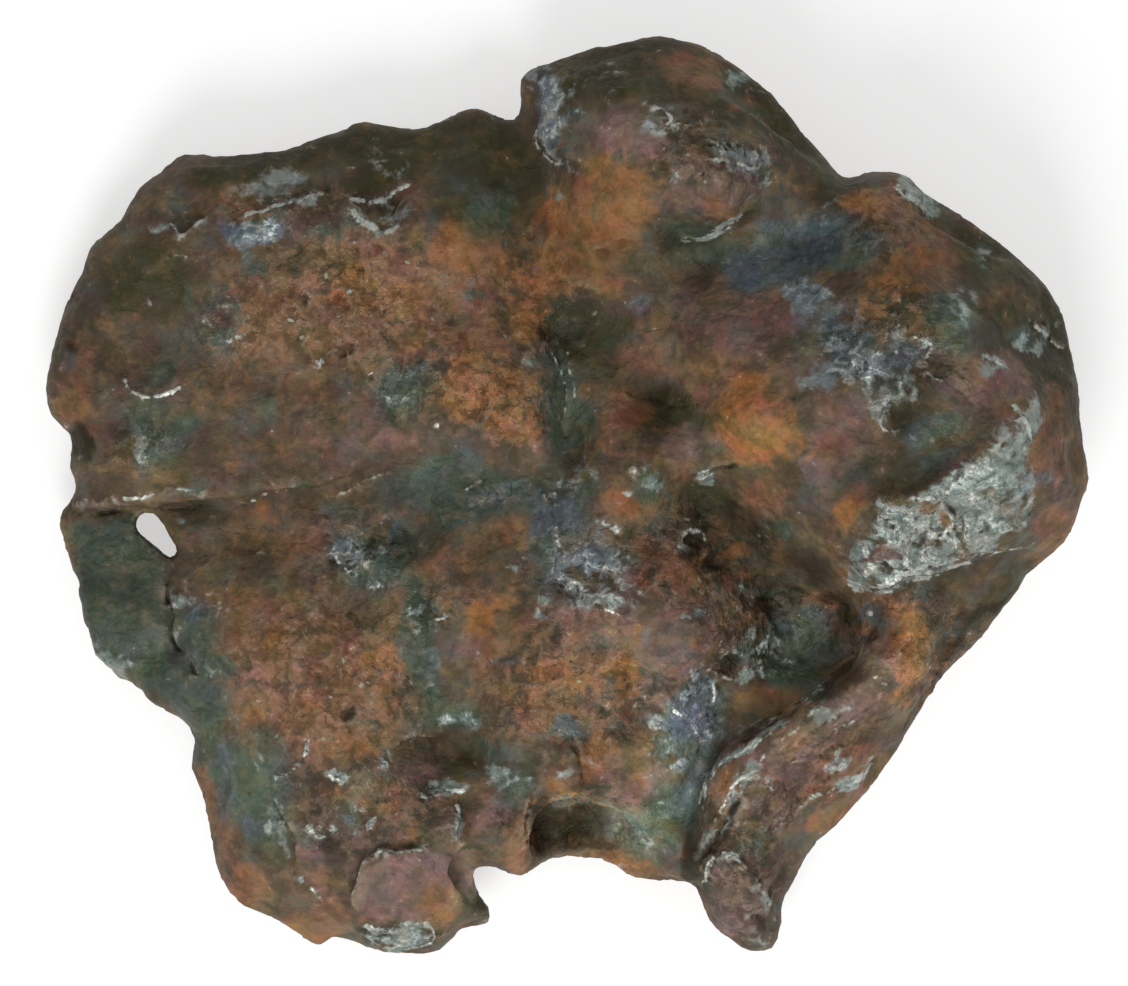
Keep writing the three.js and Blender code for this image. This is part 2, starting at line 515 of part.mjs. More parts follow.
function toSolid(geometry) {
  const bare = geometry.clone();
  bare.deleteAttribute('normal');
  bare.deleteAttribute('uv');
  const merged = mergeVertices(bare);
  return new wasm.Manifold(new wasm.Mesh({
    numProp: 3,
    vertProperties: new Float32Array(merged.getAttribute('position').array),
    triVerts: new Uint32Array(merged.getIndex().array),
  }));
}

function toGeometry(solid) {
  const { vertProperties, triVerts } = solid.getMesh();
  const geometry = new THREE.BufferGeometry();
  geometry.setAttribute('position', new THREE.Float32BufferAttribute(vertProperties, 3));
  geometry.setIndex([...triVerts]);
  geometry.computeVertexNormals();
  return geometry;
}

async function makeLump() {
  const margin = 2 * netStep;
  const low = [-length / 2 - margin, -width / 2 - margin, -2 * margin];
  const high = [length / 2 + margin, width / 2 + margin, tallest + margin];
  const fine = settle(wrapField(low, high, netStep), 2);
  const spare = fine.getAttribute('position').count - faceBudget / 2;
  const lean = await new SimplifyModifier().modify(fine, spare);
  return toGeometry(toSolid(lean).subtract(toSolid(makeFloorBlock())).subtract(toSolid(makeHole())));
}

const meteorite = new THREE.Mesh(await makeLump(), new THREE.MeshStandardMaterial({
  color: crust.colour, roughness: crust.roughness, metalness: crust.metalness,
}));
meteorite.name = 'meteorite';

const model = new THREE.Group();
model.add(meteorite);

export default model;
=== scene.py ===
# A weathered iron meteorite on a pale studio floor, seen from straight above. Lists are in millimetres in
# the frame's own axes: +X towards the thick lobes, +Y away from the broken edge, z = 0 on the floor.
import math

import bmesh
import bpy
import numpy as np
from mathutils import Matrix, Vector, noise


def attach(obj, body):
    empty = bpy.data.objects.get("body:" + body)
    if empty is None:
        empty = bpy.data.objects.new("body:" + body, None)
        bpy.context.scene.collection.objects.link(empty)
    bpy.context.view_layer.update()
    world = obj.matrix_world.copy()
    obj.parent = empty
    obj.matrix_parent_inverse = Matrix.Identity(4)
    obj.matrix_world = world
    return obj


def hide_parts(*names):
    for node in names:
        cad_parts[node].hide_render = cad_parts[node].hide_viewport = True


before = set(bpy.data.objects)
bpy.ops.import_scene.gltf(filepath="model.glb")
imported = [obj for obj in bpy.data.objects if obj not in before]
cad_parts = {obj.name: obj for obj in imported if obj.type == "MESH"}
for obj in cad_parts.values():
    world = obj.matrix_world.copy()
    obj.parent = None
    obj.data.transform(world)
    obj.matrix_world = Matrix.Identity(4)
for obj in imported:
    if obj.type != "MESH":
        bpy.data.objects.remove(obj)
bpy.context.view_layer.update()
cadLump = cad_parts["meteorite"]
mm = 0.001

# The relief. Sizes, widths and rises are in mm
sculpt = {
    "voxel": 0.62,                  # spacing of the fine mesh that the relief is pressed into
    "relaxRounds": 16,              # how long the flat faces of the frame are smoothed away
    "relaxShares": (0.6, -0.63),    # how far each round shrinks the lump, and swells it again
    "swell": 0.3,                   # what that smoothing has worn off
    "triangles": 196000,            # left at the end
    "bandWidth": 1.1,               # the mesh is halved this far round every drawn rim, crack and pit
    "bandKept": 0.7,                # the share of that band that keeps all its triangles
    "upperFace": (0.0, 0.45),       # upward lean at which the drawn relief sets in, and is full
    "wanderSize": 9.0,
    "wander": 1.4,                  # how far the drawn lines stray from smooth curves
    "raggedSize": 3.0,
    "ragged": (0.75, 0.9),          # a drawn line's mean strength, and how much it varies along the line
    "lipRise": 0.6,                 # the share of its drop that a lip adds to the frame's step
    "lipEdge": 0.6,                 # width of its sharp edge
    "lipFade": 0.12,                # the share of its length over which a lip thins out at either end
    "lineFade": 0.15,
    "pitRim": 0.25,                 # height of the ring round a pit, as a share of its depth
    "bumpSize": 10.0, "bumpRise": 0.9,                                   # rolling lumps
    "flakeSize": 13.0, "flakeRise": 0.55,                                # shelves left by flaking rust
    "flakeSteps": 5.0, "flakeLip": 0.14,
    "creaseSize": 5.0, "creaseRise": 0.35,                               # crinkles between them
    "pockSize": 4.2, "pockDepth": 0.35,                                  # little round pits
    "pockWidth": 0.3, "pockShare": 0.2,    # their width as a share of that size, and how many there are
    "grainSize": 2.6, "grainRise": 0.2,
    "calmShare": 0.4,               # how much of all that the calm parts carry
    "roughShare": 0.7,              # what the rough patches add to it
    "roughSoft": 0.7,               # width of their soft edges, as a share of their size
    "wornShare": 0.3,               # what the worn underside lacks
}
lineTail = 4                        # a lip or line has died out this many widths away

# Where the surface is rougher than elsewhere: [x, y, half length, half width, turn, how much]
roughPatches = [
    [-17.5, 23, 15, 9, -25, 1], [-48, 45, 26, 15, 0, 0.9], [-55, -42, 24, 20, 0, 0.7],
    [2, -44, 18, 16, 0, 0.8], [86, -6, 22, 9, 26, 1], [74, 36, 14, 12, 0, 0.9], [30, -14, 14, 12, 0, 0.8],
    [-45, -72, 20, 12, 0, 0.7], [6, -16, 16, 12, 0, 0.7], [82, -34, 12, 14, 40, 1], [5, -74, 20, 8, 0, 0.9],
    [52, -66, 20, 8, 45, 0.6], [40, -84, 8, 18, 10, 0.8], [-46, -13, 10, 10, 0, 0.8],
    [27, -52, 10, 12, 0, 0.7], [42, -30, 12, 10, 0, 0.8], [-60, 66, 20, 6, 0, 0.6], [40, 76, 12, 6, 0, 0.7],
    [-6, 45, 12, 12, 0, 0.5], [-38, -101, 10, 4, 0, 0.8], [-30, -24, 8, 6, 0, 0.6], [-2, 86, 6, 12, 0, 0.6],
    [54, -30, 13, 10, 0, 0.8], [1, -76, 9, 7, 0, 1], [-77, 38, 8, 7, 0, 0.9], [-96, 11, 7, 6, 0, 0.9],
    [-38, 24, 8, 7, 0, 0.8], [29, 79, 10, 8, 0, 0.7], [72, 62, 10, 8, 0, 0.7],
]

# Crisp lips on top of the frame's soft steps: drop, reach, then the line. The left side stands higher, or
# the right one where the drop is negative
lips = [
    [-1.1, 4, [[-40, 8], [-61, 2], [-84, -0.5], [-102.5, -2.5], [-116, -3.5]]],
    [-1.6, 4, [[29, -84], [32, -68], [36, -59], [48, -51.5], [64, -39.5], [71, -32]]],
    [-1.3, 3, [[112, -12], [94, -13.5], [78, -18.5], [68, -21], [62, -17]]],
    [-1.2, 3, [[44, 65], [40, 62.5], [36, 61], [32, 59.5], [27, 59], [25, 62]]],
    [-1.0, 2.5, [[30, -86], [31, -84], [33, -82], [36.5, -81.7], [41, -84], [44.5, -89], [46.5, -94]]],
    [1.0, 3, [[-6, 88], [-6, 79.5], [4.5, 75.5]]],
    [0.9, 3, [[-34, 72], [-42, 60.5], [-49.5, 67], [-61, 67.5], [-76, 63.5]]],
    [0.9, 3, [[-82, 64], [-88, 59.5], [-93, 62]]],
    [1.1, 3, [[-40, -58], [-34, -54.5], [-27, -54]]],
    [-1.2, 3, [[-50, -96], [-47.5, -86], [-41, -81], [-31, -80]]],
    [-1.0, 3, [[-25, -68], [-25.5, -80]]],
    [-0.8, 3, [[32, -42], [38, -46], [44, -43], [47, -38]]],
]

# Narrow rims and cracks: rise (a crack is negative), half width, how worn and bright (worn metal, partly a
# painted highlight), then the line
strokes = [
    [0.42, 0.56, 1, [[-102, 28.5], [-99.5, 25], [-95.5, 23], [-91, 23.5], [-87, 26]]],
    [0.36, 0.56, 0.9, [[-91.5, 62], [-88, 59.5], [-85, 61], [-82.5, 63.5]]],
    [0.42, 0.56, 1, [[-75.5, 64], [-70, 65], [-61, 68], [-54.5, 68]]],
    [0.36, 0.62, 0.8, [[-51, 69], [-44.5, 67], [-39.5, 68.5], [-35.5, 71.5]]],
    [0.42, 0.68, 1, [[-49.5, 67], [-48, 63.5], [-44, 61], [-41.5, 60], [-37.5, 63]]],
    [0.31, 0.56, 1, [[-58.5, 31], [-57, 29.5], [-55, 31.5]]],
    [0.31, 0.62, 0.15, [[-116, -2.2], [-109, -1.6], [-102.5, -0.7]]],
    [0.31, 0.5, 1, [[-102.5, -0.7], [-98, -0.2], [-94.5, 0.6]]],
    [0.31, 0.62, 0.3, [[-94.5, 0.6], [-89, 2], [-84, 1.2], [-80.5, 2.3]]],
    [0.26, 0.5, 0.45, [[-75, -1.5], [-68, 0], [-61, 1.5]]],
    [0.26, 0.45, 0.35, [[-54.5, -0.5], [-51, 0.8], [-48, 2.5], [-42, 5], [-38.5, 7.5]]],
    [0.26, 0.5, 0.5, [[-23.2, 1.4], [-21, 2.5], [-19.1, 4.1]]],
    [0.2, 0.4, 0.35, [[-91, 54], [-88, 55.5], [-84, 55], [-80, 54.5]]],
    [0.26, 0.5, 1, [[-31.5, -29.7], [-28.5, -28.7], [-26, -27.4]]],
    [0.26, 0.5, 0.9, [[-45.5, -21.3], [-43, -20.5], [-41, -20.7]]],
    [0.26, 0.6, 0.8, [[-50.5, -17.5], [-47.5, -15.6], [-44.5, -14.7]]],
    [0.2, 0.5, 0.7, [[-53.5, -11.5], [-52.5, -15], [-50, -18]]],
    [0.33, 0.7, 1, [[-0.5, -18.2], [2, -19.6], [4.2, -21.9]]],
    [0.26, 0.55, 1, [[2.5, -20.5], [2.2, -23], [2.3, -25.2]]],
    [0.26, 0.6, 0.9, [[5.5, -24.6], [8, -23.5]]],
    [0.26, 0.5, 0.8, [[8.5, -24.6], [11, -25.4], [13, -27]]],
    [0.2, 0.4, 0.6, [[7.5, -18], [9.5, -15.7], [11.3, -13.2], [12, -11]]],
    [0.2, 0.4, 0.5, [[-2.5, -18], [-0.5, -20.3], [1, -22]]],
    [0.26, 0.5, 0.6, [[-6, 2.5], [-4.5, -1], [-1.5, -3]]],
    [0.2, 0.4, 0.5, [[-2.5, -5.5], [-1.8, -8.5], [-1, -11.5]]],
    [0.26, 0.5, 0.7, [[-59, -75.7], [-57.3, -78], [-54.3, -78.7]]],
    [0.26, 0.5, 0.8, [[-67.6, -62.6], [-64, -63], [-61.5, -60.7], [-59.3, -56.8]]],
    [0.39, 0.8, 1, [[-54.7, -63.7], [-52.5, -64.9], [-50.5, -65.6]]],
    [0.26, 0.5, 0.8, [[-32.9, -67], [-31.9, -69.3]]],
    [0.26, 0.45, 1, [[-32.4, -67.8], [-28, -67.6], [-23.8, -67.1]]],
    [0.15, 0.45, 0.8, [[-25, -70.6], [-25.5, -75], [-25.7, -79.4]]],
    [0.26, 0.5, 0.8, [[-46.5, -98.5], [-42, -99.5], [-38, -99]]],
    [0.26, 0.5, 0.9, [[-33, -98], [-31.5, -101], [-31, -103]]],
    [0.2, 0.45, 0.8, [[71.5, 22.8], [72.7, 19.8], [71.5, 16.3], [73.4, 15], [77.5, 15]]],
    [0.2, 0.45, 0.7, [[64, 28], [66, 27], [66.5, 30]]],
    [0.33, 0.8, 1, [[67.6, -11.3], [69.5, -15.9], [68.3, -19.3]]],
    [0.33, 0.7, 1, [[76.8, -13.1], [78.7, -16.3], [80.5, -18.6]]],
    [0.26, 0.8, 1, [[72.2, -4.4], [75.7, -7.8], [77.5, -10.8]]],
    [0.26, 0.6, 1, [[77.5, -2], [79.5, -6.5], [78.5, -10]]],
    [0.26, 0.7, 1, [[83.7, -2.8], [83, -7.8], [86, -10.1], [88.8, -6.7], [87.2, -3.2]]],
    [0.2, 0.6, 0.9, [[82, -12], [83, -15.5], [82.5, -18]]],
    [0.2, 0.5, 0.9, [[91, -4], [92.5, -8], [92, -12]]],
    [0.26, 0.7, 1, [[101.5, 20], [104.5, 17], [106, 13], [104, 9.5]]],
    [-0.6, 0.35, 0, [[85.3, -0.9], [88.3, -3.7], [89.5, -7.8], [89.5, -11.3]]],
    [-0.5, 0.35, 0, [[91.8, -12.9], [95.5, -12.4], [99.8, -12.4]]],
    [-1, 0.45, 0, [[70, -31], [65.5, -38], [58.5, -44.6], [54, -47.4], [46, -52], [41.3, -55.7]]],
    [-0.6, 0.4, 0, [[42.5, -23.5], [45, -23.2], [48.5, -24.7], [50.5, -27.4]]],
    [-0.5, 0.35, 0, [[13, -39.5], [14, -42.5], [15.5, -44.8]]],
    [-0.25, 0.3, 0, [[85, 31], [90, 27.5], [95, 23]]],
    [-0.25, 0.3, 0, [[84, 27], [89, 23.5], [93, 20]]],
    [0.5, 0.75, 1.2, [[26.5, 58.8], [31, 59.2], [35, 60.8], [38.5, 62.7], [41.5, 64]]],
    [0.2, 0.45, 0.9, [[18.2, 88.3], [20.5, 89.2], [23, 88.1], [23.5, 85.6], [21.6, 83.7], [19.3, 84.2]]],
    [0.2, 0.4, 0.8, [[23, 84.2], [26.2, 84], [29.2, 83.3]]],
    [0.25, 0.5, 1, [[32.9, 76.4], [35.9, 76.6], [38.9, 76.4], [41.9, 75.4], [43.9, 75.9]]],
    [0.2, 0.4, 0.7, [[32.2, 80], [35, 79.1], [37.7, 79.4], [40.5, 78.4]]],
    [0.36, 0.62, 0.7, [[-6, 87.5], [-7, 80], [-3, 76.5], [4.5, 75.5]]],
    [0.31, 0.56, 0.7, [[-38, -56.5], [-34.5, -54.5], [-31.5, -54]]],
    [0.31, 0.5, 1, [[-32.5, -69.5], [-28, -68.5], [-23, -67]]],
    [0.31, 0.56, 0.6, [[-49.5, -94], [-47.5, -86], [-41.5, -81.5], [-31.5, -80.5]]],
    [0.31, 0.5, 0.8, [[-25, -70], [-25.5, -79]]],
    [0.42, 0.74, 0.9, [[75, 72.5], [79, 68], [85, 63]]],
    [0.4, 0.5, 0.9, [[48.5, -53.2], [43, -56.2], [37.5, -59.4], [33.6, -63.3], [31.3, -69.7], [31.5, -73]]],
    [0.4, 0.55, 0.9, [[46, -57], [43, -62], [39.5, -65.5], [37.3, -70.8], [34.7, -74.2],
        [31, -79], [29.8, -82.5]]],
    [-1.1, 0.43, 0, [[40.5, -68.5], [37.5, -73.5], [34, -78.5], [31, -82.5], [29.7, -86]]],
    [0.2, 0.5, 0.9, [[38.5, -83.3], [40.5, -85.2], [42.5, -87.6], [44.5, -90], [46.2, -92.5]]],
    [0.2, 0.45, 0.8, [[31.3, -89.5], [31.8, -86.5], [33, -84.2], [35.5, -82], [37.8, -82.5]]],
    [-0.96, 0.37, 0, [[-91, -15.5], [-91.5, -21.5], [-90.5, -26.5], [-90.5, -33], [-87.5, -37.5]]],
    [-1.1, 0.45, 0, [[-87, -37.5], [-86, -39], [-84.5, -41]]],
    [-0.5, 0.37, 0.1, [[-67.5, -69], [-63.5, -76], [-62, -82], [-62, -87]]],
    [0.2, 0.45, 0.3, [[-60.5, -88.5], [-58, -91], [-56, -93]]],
    [-0.3, 0.5, 0, [[-1.5, 34.5], [-1, 26.5], [-1, 17.5], [2, 9.5]]],
    [0.2, 0.4, 0.55, [[-3.6, 32.5], [-1.6, 29.5], [-0.6, 25.5], [-0.8, 21], [-0.2, 17]]],
    [0.2, 0.4, 0.4, [[1, 33], [0.6, 29], [1.6, 25], [1.8, 20.5]]],
    [0.45, 1.0, 1.2, [[64.2, -19.3], [67.6, -21.2], [72.2, -20.9], [76.8, -17.7], [80.3, -18.9],
        [83.7, -18.2]]],
    [0.33, 0.6, 0.8, [[83.7, -18.2], [87.2, -15.9], [92.9, -14.7]]],
    [0.26, 0.5, 0.4, [[92.9, -14.7], [100, -13], [108, -11]]],
    [0.31, 0.87, 0.7, [[106.5, 20], [96, 10], [86, 1.5], [76, -1.5]]],
    [-1.04, 0.43, 0, [[-108, -4.5], [-98, -5]]],
    [-0.96, 0.5, 0, [[-93.5, -2], [-88, -3.5], [-82, -2.5]]],
    [-0.8, 0.37, 0, [[-1, -56], [2, -60.5], [3, -67.5]]],
    [0.31, 0.56, 0.8, [[31, -38], [35.5, -41], [39, -42]]],
    [0.26, 0.5, 0.8, [[34, -42], [33.5, -47.5]]],
    [0.31, 0.56, 0.9, [[24, -50], [27.5, -52]]],
    [0.31, 0.5, 0.7, [[105.5, 40.5], [110, 36.5], [114.5, 33.5]]],
    [0.26, 0.5, 0.5, [[94, 32], [98, 31], [101, 28]]],
    [0.31, 0.56, 0.6, [[79.5, 36], [83, 34.5], [82, 31.5]]],
    [0.26, 0.5, 0.6, [[81.5, 29], [84, 26], [85.5, 25.5]]],
    [0.39, 0.7, 0.9, [[71.1, -60], [68.1, -63.5], [65.8, -66], [60.7, -67.6], [53.8, -70.4]]],
    [0.33, 0.7, 0.8, [[64.5, -59.5], [61.5, -62.8]]],
    [0.25, 0.5, 0.45, [[49.9, -61.2], [56.6, -56.6], [63.5, -52.9], [69.5, -48.3]]],
    [0.25, 0.5, 0.5, [[46.9, -57.3], [52.7, -52], [58.4, -46.9]]],
    [0.25, 0.5, 0.4, [[45.8, -76.8], [51.5, -72.7], [56.1, -69.9]]],
    [0.25, 0.5, 0.4, [[67.6, -44.6], [73.4, -38.9], [78, -33.1]]],
    [-0.35, 0.4, 0, [[48, -58.5], [55, -53.8], [62, -50]]],
    [-0.3, 0.4, 0, [[47, -74.5], [53, -70.5], [60, -64.5], [66, -58.5]]],
    [0.26, 0.6, 0.7, [[54, -47.8], [57, -45.6], [60, -43.5]]],
    [-0.35, 0.5, 0, [[71, -53.5], [62, -57], [54, -62.5], [50, -68]]],
    [0.2, 0.4, 0.4, [[42, -62], [46, -66], [47, -70]]],
    [0.33, 0.55, 0.8, [[31, -84], [33, -82], [36.5, -81.7], [41, -84], [44.5, -89], [46.5, -94]]],
    [-0.9, 0.5, 0, [[-8, -68.5], [-8.7, -75], [-8.2, -81]]],
    [-0.56, 0.37, 0, [[40, 9], [34, 6], [28, 5]]],
    [-0.35, 0.5, 0, [[12, 24], [20, 22], [30, 19.5]]],
    [0.35, 0.7, 0.15, [[40, -32], [44, -35.5], [49, -36.5], [53, -39]]],
    [0.3, 0.6, 0.3, [[42.5, -36], [46, -39.5], [51, -41]]],
    [0.3, 0.6, 0.1, [[47, -29], [52, -30.5], [57, -34]]],
    [-0.4, 0.5, 0, [[30, -38], [33, -44], [32, -50], [35, -55]]],
    [0.3, 0.6, 0.2, [[24, -33], [28, -37], [29, -42], [27, -47]]],
    [0.3, 0.6, 0.15, [[17, -44], [20, -48], [21, -54], [19, -60]]],
]

# Small round pits and studs: [x, y, radius, depth, how worn and bright the rim is (partly a painted
# highlight)]. A stud's depth is negative
pits = [
    [28.5, -10, 2.4, 1.3, 0.9], [32.7, -16, 2.2, 1.2, 0.4], [-49.7, -50.4, 1.6, 0.9, 0.3],
    [37.5, -38.5, 2.6, 0.9, 0.5], [-50.8, 33.8, 1.3, 0.6, 0], [43, -97, 1.3, 0.6, 0.5],
    [-90.6, -24.6, 0.9, -0.9, 1], [-49.7, 47.4, 0.9, -0.6, 1], [-78, 43.5, 0.9, -0.5, 0.8],
    [-56.6, 30.2, 1.2, -0.6, 1], [-44.2, 28, 0.8, 0.4, 0.9], [-28.5, 15.5, 1, -0.4, 0.7],
    [-3, 0, 1, -0.5, 0.6], [15.5, 5.5, 1.6, -0.8, 0.7], [31.5, 5, 1.8, -0.8, 0.7], [-9, 60, 1.5, 0.6, 0.2],
    [8, 55.5, 1.2, 0.6, 0], [12.5, 58, 1.1, 0.5, 0], [4, 47, 1.3, 0.6, 0], [-60, 45.5, 1.1, 0.5, 0.5],
    [-68, 24, 1.4, 0.6, 0], [73, -15.5, 1.6, 0.5, 0.7], [-70, -13, 1.2, -0.5, 0.3],
    [68, -31, 0.9, -0.6, 0.4], [69, -27, 0.8, -0.5, 1], [54.5, 9.5, 0.8, -0.5, 0.2], [4, -79, 1, -0.6, 0.2],
]


def smoothstep(low, high, value):
    share = np.clip((value - low) / (high - low), 0, 1)
    return share * share * (3 - 2 * share)


def bell(gap, width):
    return np.exp(-(gap / width) ** 2)


def readPoints(mesh):
    flat = np.empty(len(mesh.vertices) * 3, np.float32)
    mesh.vertices.foreach_get("co", flat)
    return flat.reshape(-1, 3).astype(float) / mm


def writePoints(mesh, points):
    mesh.vertices.foreach_set("co", (points * mm).astype(np.float32).ravel())
    mesh.update()


def readNormals(mesh):
    flat = np.empty(len(mesh.vertices) * 3, np.float32)
    mesh.vertex_normals.foreach_get("vector", flat)
    return flat.reshape(-1, 3).astype(float)


def readEdges(mesh):
    flat = np.empty(len(mesh.edges) * 2, np.int32)
    mesh.edges.foreach_get("vertices", flat)
    return flat.reshape(-1, 2)


def sumOverEdges(fromA, fromB, edges, count):
    # at each point, the sum of what its edges bring: fromB arrives at the first end, fromA at the second
    return np.bincount(edges[:, 0], fromB, count) + np.bincount(edges[:, 1], fromA, count)


def degreeOf(edges, count):
    # how many edges meet at each point
    return np.maximum(np.bincount(edges.ravel(), minlength=count), 1)


def neighbourMean(values, edges):
    # the average of each point's neighbours, column by column
    count = len(values)
    table = values.reshape(count, -1)
    sums = [sumOverEdges(column[edges[:, 0]], column[edges[:, 1]], edges, count) for column in table.T]
    return (np.stack(sums, 1) / degreeOf(edges, count)[:, None]).reshape(values.shape)


def relax(points, edges, rounds):
    # each round shrinks a little and swells back, so the lump keeps its size
    for _ in range(rounds):
        for share in sculpt["relaxShares"]:
            points = points + share * (neighbourMean(points, edges) - points)
    return points


def bakeModifiers(thing):
    graph = bpy.context.evaluated_depsgraph_get()
    made = bpy.data.meshes.new_from_object(thing.evaluated_get(graph))
    thing.modifiers.clear()
    old = thing.data
    thing.data = made
    bpy.data.meshes.remove(old)


def smoothLine(corners):
    # a Catmull-Rom curve through the corners, as close points
    spacing = 0.8
    spots = np.array(corners, float)
    padded = np.vstack([2 * spots[0] - spots[1], spots, 2 * spots[-1] - spots[-2]])
    made = [spots[:1]]
    for before, start, end, after in zip(padded, padded[1:], padded[2:], padded[3:]):
        steps = max(2, int(np.linalg.norm(end - start) / spacing))
        t = (np.arange(1, steps + 1) / steps)[:, None]
        squared = 2 * before - 5 * start + 4 * end - after
        cubed = 3 * start - before - 3 * end + after
        made.append(0.5 * (2 * start + (end - before) * t + squared * t ** 2 + cubed * t ** 3))
    return np.vstack(made)


def besideLine(line, x, y, reach):
    # which points lie within reach of the line's box, and their gap, side (+1 left) and place along it
    near = np.flatnonzero((x > line[:, 0].min() - reach) & (x < line[:, 0].max() + reach)
                          & (y > line[:, 1].min() - reach) & (y < line[:, 1].max() + reach))
    gap = np.full(len(near), 1e9)
    side, along = np.ones(len(near)), np.zeros(len(near))
    headings = np.gradient(line, axis=0)
    for i in range(len(line) - 1):
        dx, dy = line[i + 1] - line[i]
        px, py = x[near] - line[i, 0], y[near] - line[i, 1]
        share = np.clip((px * dx + py * dy) / (dx * dx + dy * dy), 0, 1)
        offX, offY = px - share * dx, py - share * dy
        dist = np.hypot(offX, offY)
        closer = dist < gap
        heading = headings[i] + share[:, None] * (headings[i + 1] - headings[i])
        turned = np.where(heading[:, 0] * offY - heading[:, 1] * offX < 0, -1.0, 1.0)
        gap = np.where(closer, dist, gap)
        side = np.where(closer, turned, side)
        along = np.where(closer, (i + share) / (len(line) - 1), along)
    return near, gap, side, along


def fadeEnds(along, share):
    # a line thins out over this share of its length at either end
    return np.minimum(1, along / share) * np.minimum(1, (1 - along) / share)


def fractalField(points, size, octaves, seed):
    smoothness, finer = 0.9, 2.1
    shifted = (points / size + np.array([17.3, 5.1, 9.7]) * seed).tolist()
    return np.array([noise.fractal(p, smoothness, finer, octaves) for p in shifted])


def raggedField(points, mean, swing):
    # how strong the drawn lines are at each point
    return mean + swing * fractalField(points, sculpt["raggedSize"], 3, 9)


def pitGap(x, y, centreX, centreY, radius, ragged):
    # how far each point is from a pit's middle, in radii of its uneven rim
    return np.hypot(x - centreX, y - centreY) / radius * (0.75 + 0.35 * ragged)


def patchField(patches, x, y, soft):
    # soft union of turned ellipses: 1 inside, 0 well outside
    left = np.ones(len(x))
    for cx, cy, a, b, turn, strength in patches:
        c, s = math.cos(math.radians(turn)), math.sin(math.radians(turn))
        u, v = ((x - cx) * c + (y - cy) * s) / a, ((y - cy) * c - (x - cx) * s) / b
        share = abs(strength) * (1 - smoothstep(1 - soft / 2, 1 + soft / 2, np.hypot(u, v)))
        left = left * (1 - share) if strength > 0 else 1 - (1 - left) * (1 - share)
    return 1 - left


def strayed(points):
    # the plan place of each point, shifted a little so that what is drawn there turns out ragged
    size, wander = sculpt["wanderSize"], sculpt["wander"]
    return [points[:, k] + wander * fractalField(points, size, 2, 7 + k) for k in (0, 1)]


def drawnNear(x, y, reach):
    # the points within reach of a drawn rim or crack, or on a pit and its ring
    close = np.zeros(len(x), bool)
    for _, _, _, corners in strokes:
        near, gap, _, _ = besideLine(smoothLine(corners), x, y, reach)
        close[near[gap < reach]] = True
    for cx, cy, radius, _, _ in pits:
        close |= np.hypot(x - cx, y - cy) < radius * 1.1 + 0.3
    return close


def halveBands(mesh):
    # smaller faces where the fine lines will run
    points, normals = readPoints(mesh), readNormals(mesh)
    x, y = strayed(points)
    close = drawnNear(x, y, sculpt["bandWidth"]) & (normals[:, 2] > 0)
    work = bmesh.new()
    work.from_mesh(mesh)
    work.verts.ensure_lookup_table()
    edges = {edge for face in work.faces if all(close[v.index] for v in face.verts) for edge in face.edges}
    bmesh.ops.subdivide_edges(work, edges=list(edges), cuts=1, use_grid_fill=True)
    work.to_mesh(mesh)
    work.free()
    mesh.update()


def drawnRelief(points, x, y):
    # lips, rims, cracks, pits and studs
    relief = np.full(len(points), sculpt["swell"])
    for drop, reach, corners in lips:
        near, gap, side, along = besideLine(smoothLine(corners), x, y, lineTail * reach)
        edge = sculpt["lipRise"] * drop * side * np.tanh(gap / sculpt["lipEdge"])
        relief[near] += edge * np.exp(-gap / reach) * fadeEnds(along, sculpt["lipFade"])
    ragged = raggedField(points, *sculpt["ragged"])
    for rise, halfWidth, _, corners in strokes:
        near, gap, _, along = besideLine(smoothLine(corners), x, y, lineTail * halfWidth)
        relief[near] += rise * bell(gap, halfWidth) * fadeEnds(along, sculpt["lineFade"]) * ragged[near]
    for cx, cy, radius, depth, _ in pits:
        away = pitGap(x, y, cx, cy, radius, ragged)
        ring = sculpt["pitRim"] * abs(depth) * bell(away - 1.25, 0.3)
        relief += np.where(away < 2.4, -depth * np.exp(-away ** 4) + ring, 0)
    return relief


def pressRelief(mesh):
    points, normals = readPoints(mesh), readNormals(mesh)
    x, y = strayed(points)
    facing = smoothstep(*sculpt["upperFace"], normals[:, 2])
    relief = sculpt["swell"] + (drawnRelief(points, x, y) - sculpt["swell"]) * facing
    crumbled = patchField(roughPatches, x, y, sculpt["roughSoft"])
    worn = smoothstep(0.3, 0.8, -normals[:, 2])
    rough = sculpt["calmShare"] + sculpt["roughShare"] * crumbled * facing - sculpt["wornShare"] * worn
    bumps = fractalField(points, sculpt["bumpSize"], 5, 1)
    height = fractalField(points, sculpt["flakeSize"], 4, 2) * sculpt["flakeSteps"]
    lip = sculpt["flakeLip"]
    shelf = np.floor(height) + smoothstep(0.5 - lip, 0.5 + lip, height - np.floor(height)) - height
    cells = [noise.voronoi(p) for p in (points / sculpt["pockSize"]).tolist()]
    nearest = np.array([found[0][0] for found in cells])
    chosen = np.array([noise.cell(found[1][0]) for found in cells])
    pocks = np.where(chosen < 2 * sculpt["pockShare"] - 1, bell(nearest, sculpt["pockWidth"]), 0)
    grain = fractalField(points, sculpt["grainSize"], 2, 3)
    crease = 0.5 - np.abs(fractalField(points, sculpt["creaseSize"], 3, 4)) * 2
    relief += rough * (sculpt["bumpRise"] * bumps + sculpt["flakeRise"] * shelf
                       - sculpt["pockDepth"] * pocks + sculpt["grainRise"] * grain
                       + sculpt["creaseRise"] * crease)
    points = points + relief[:, None] * normals
    points[:, 2] = np.maximum(points[:, 2], 0)          # it rests on its worn flats
    writePoints(mesh, points)


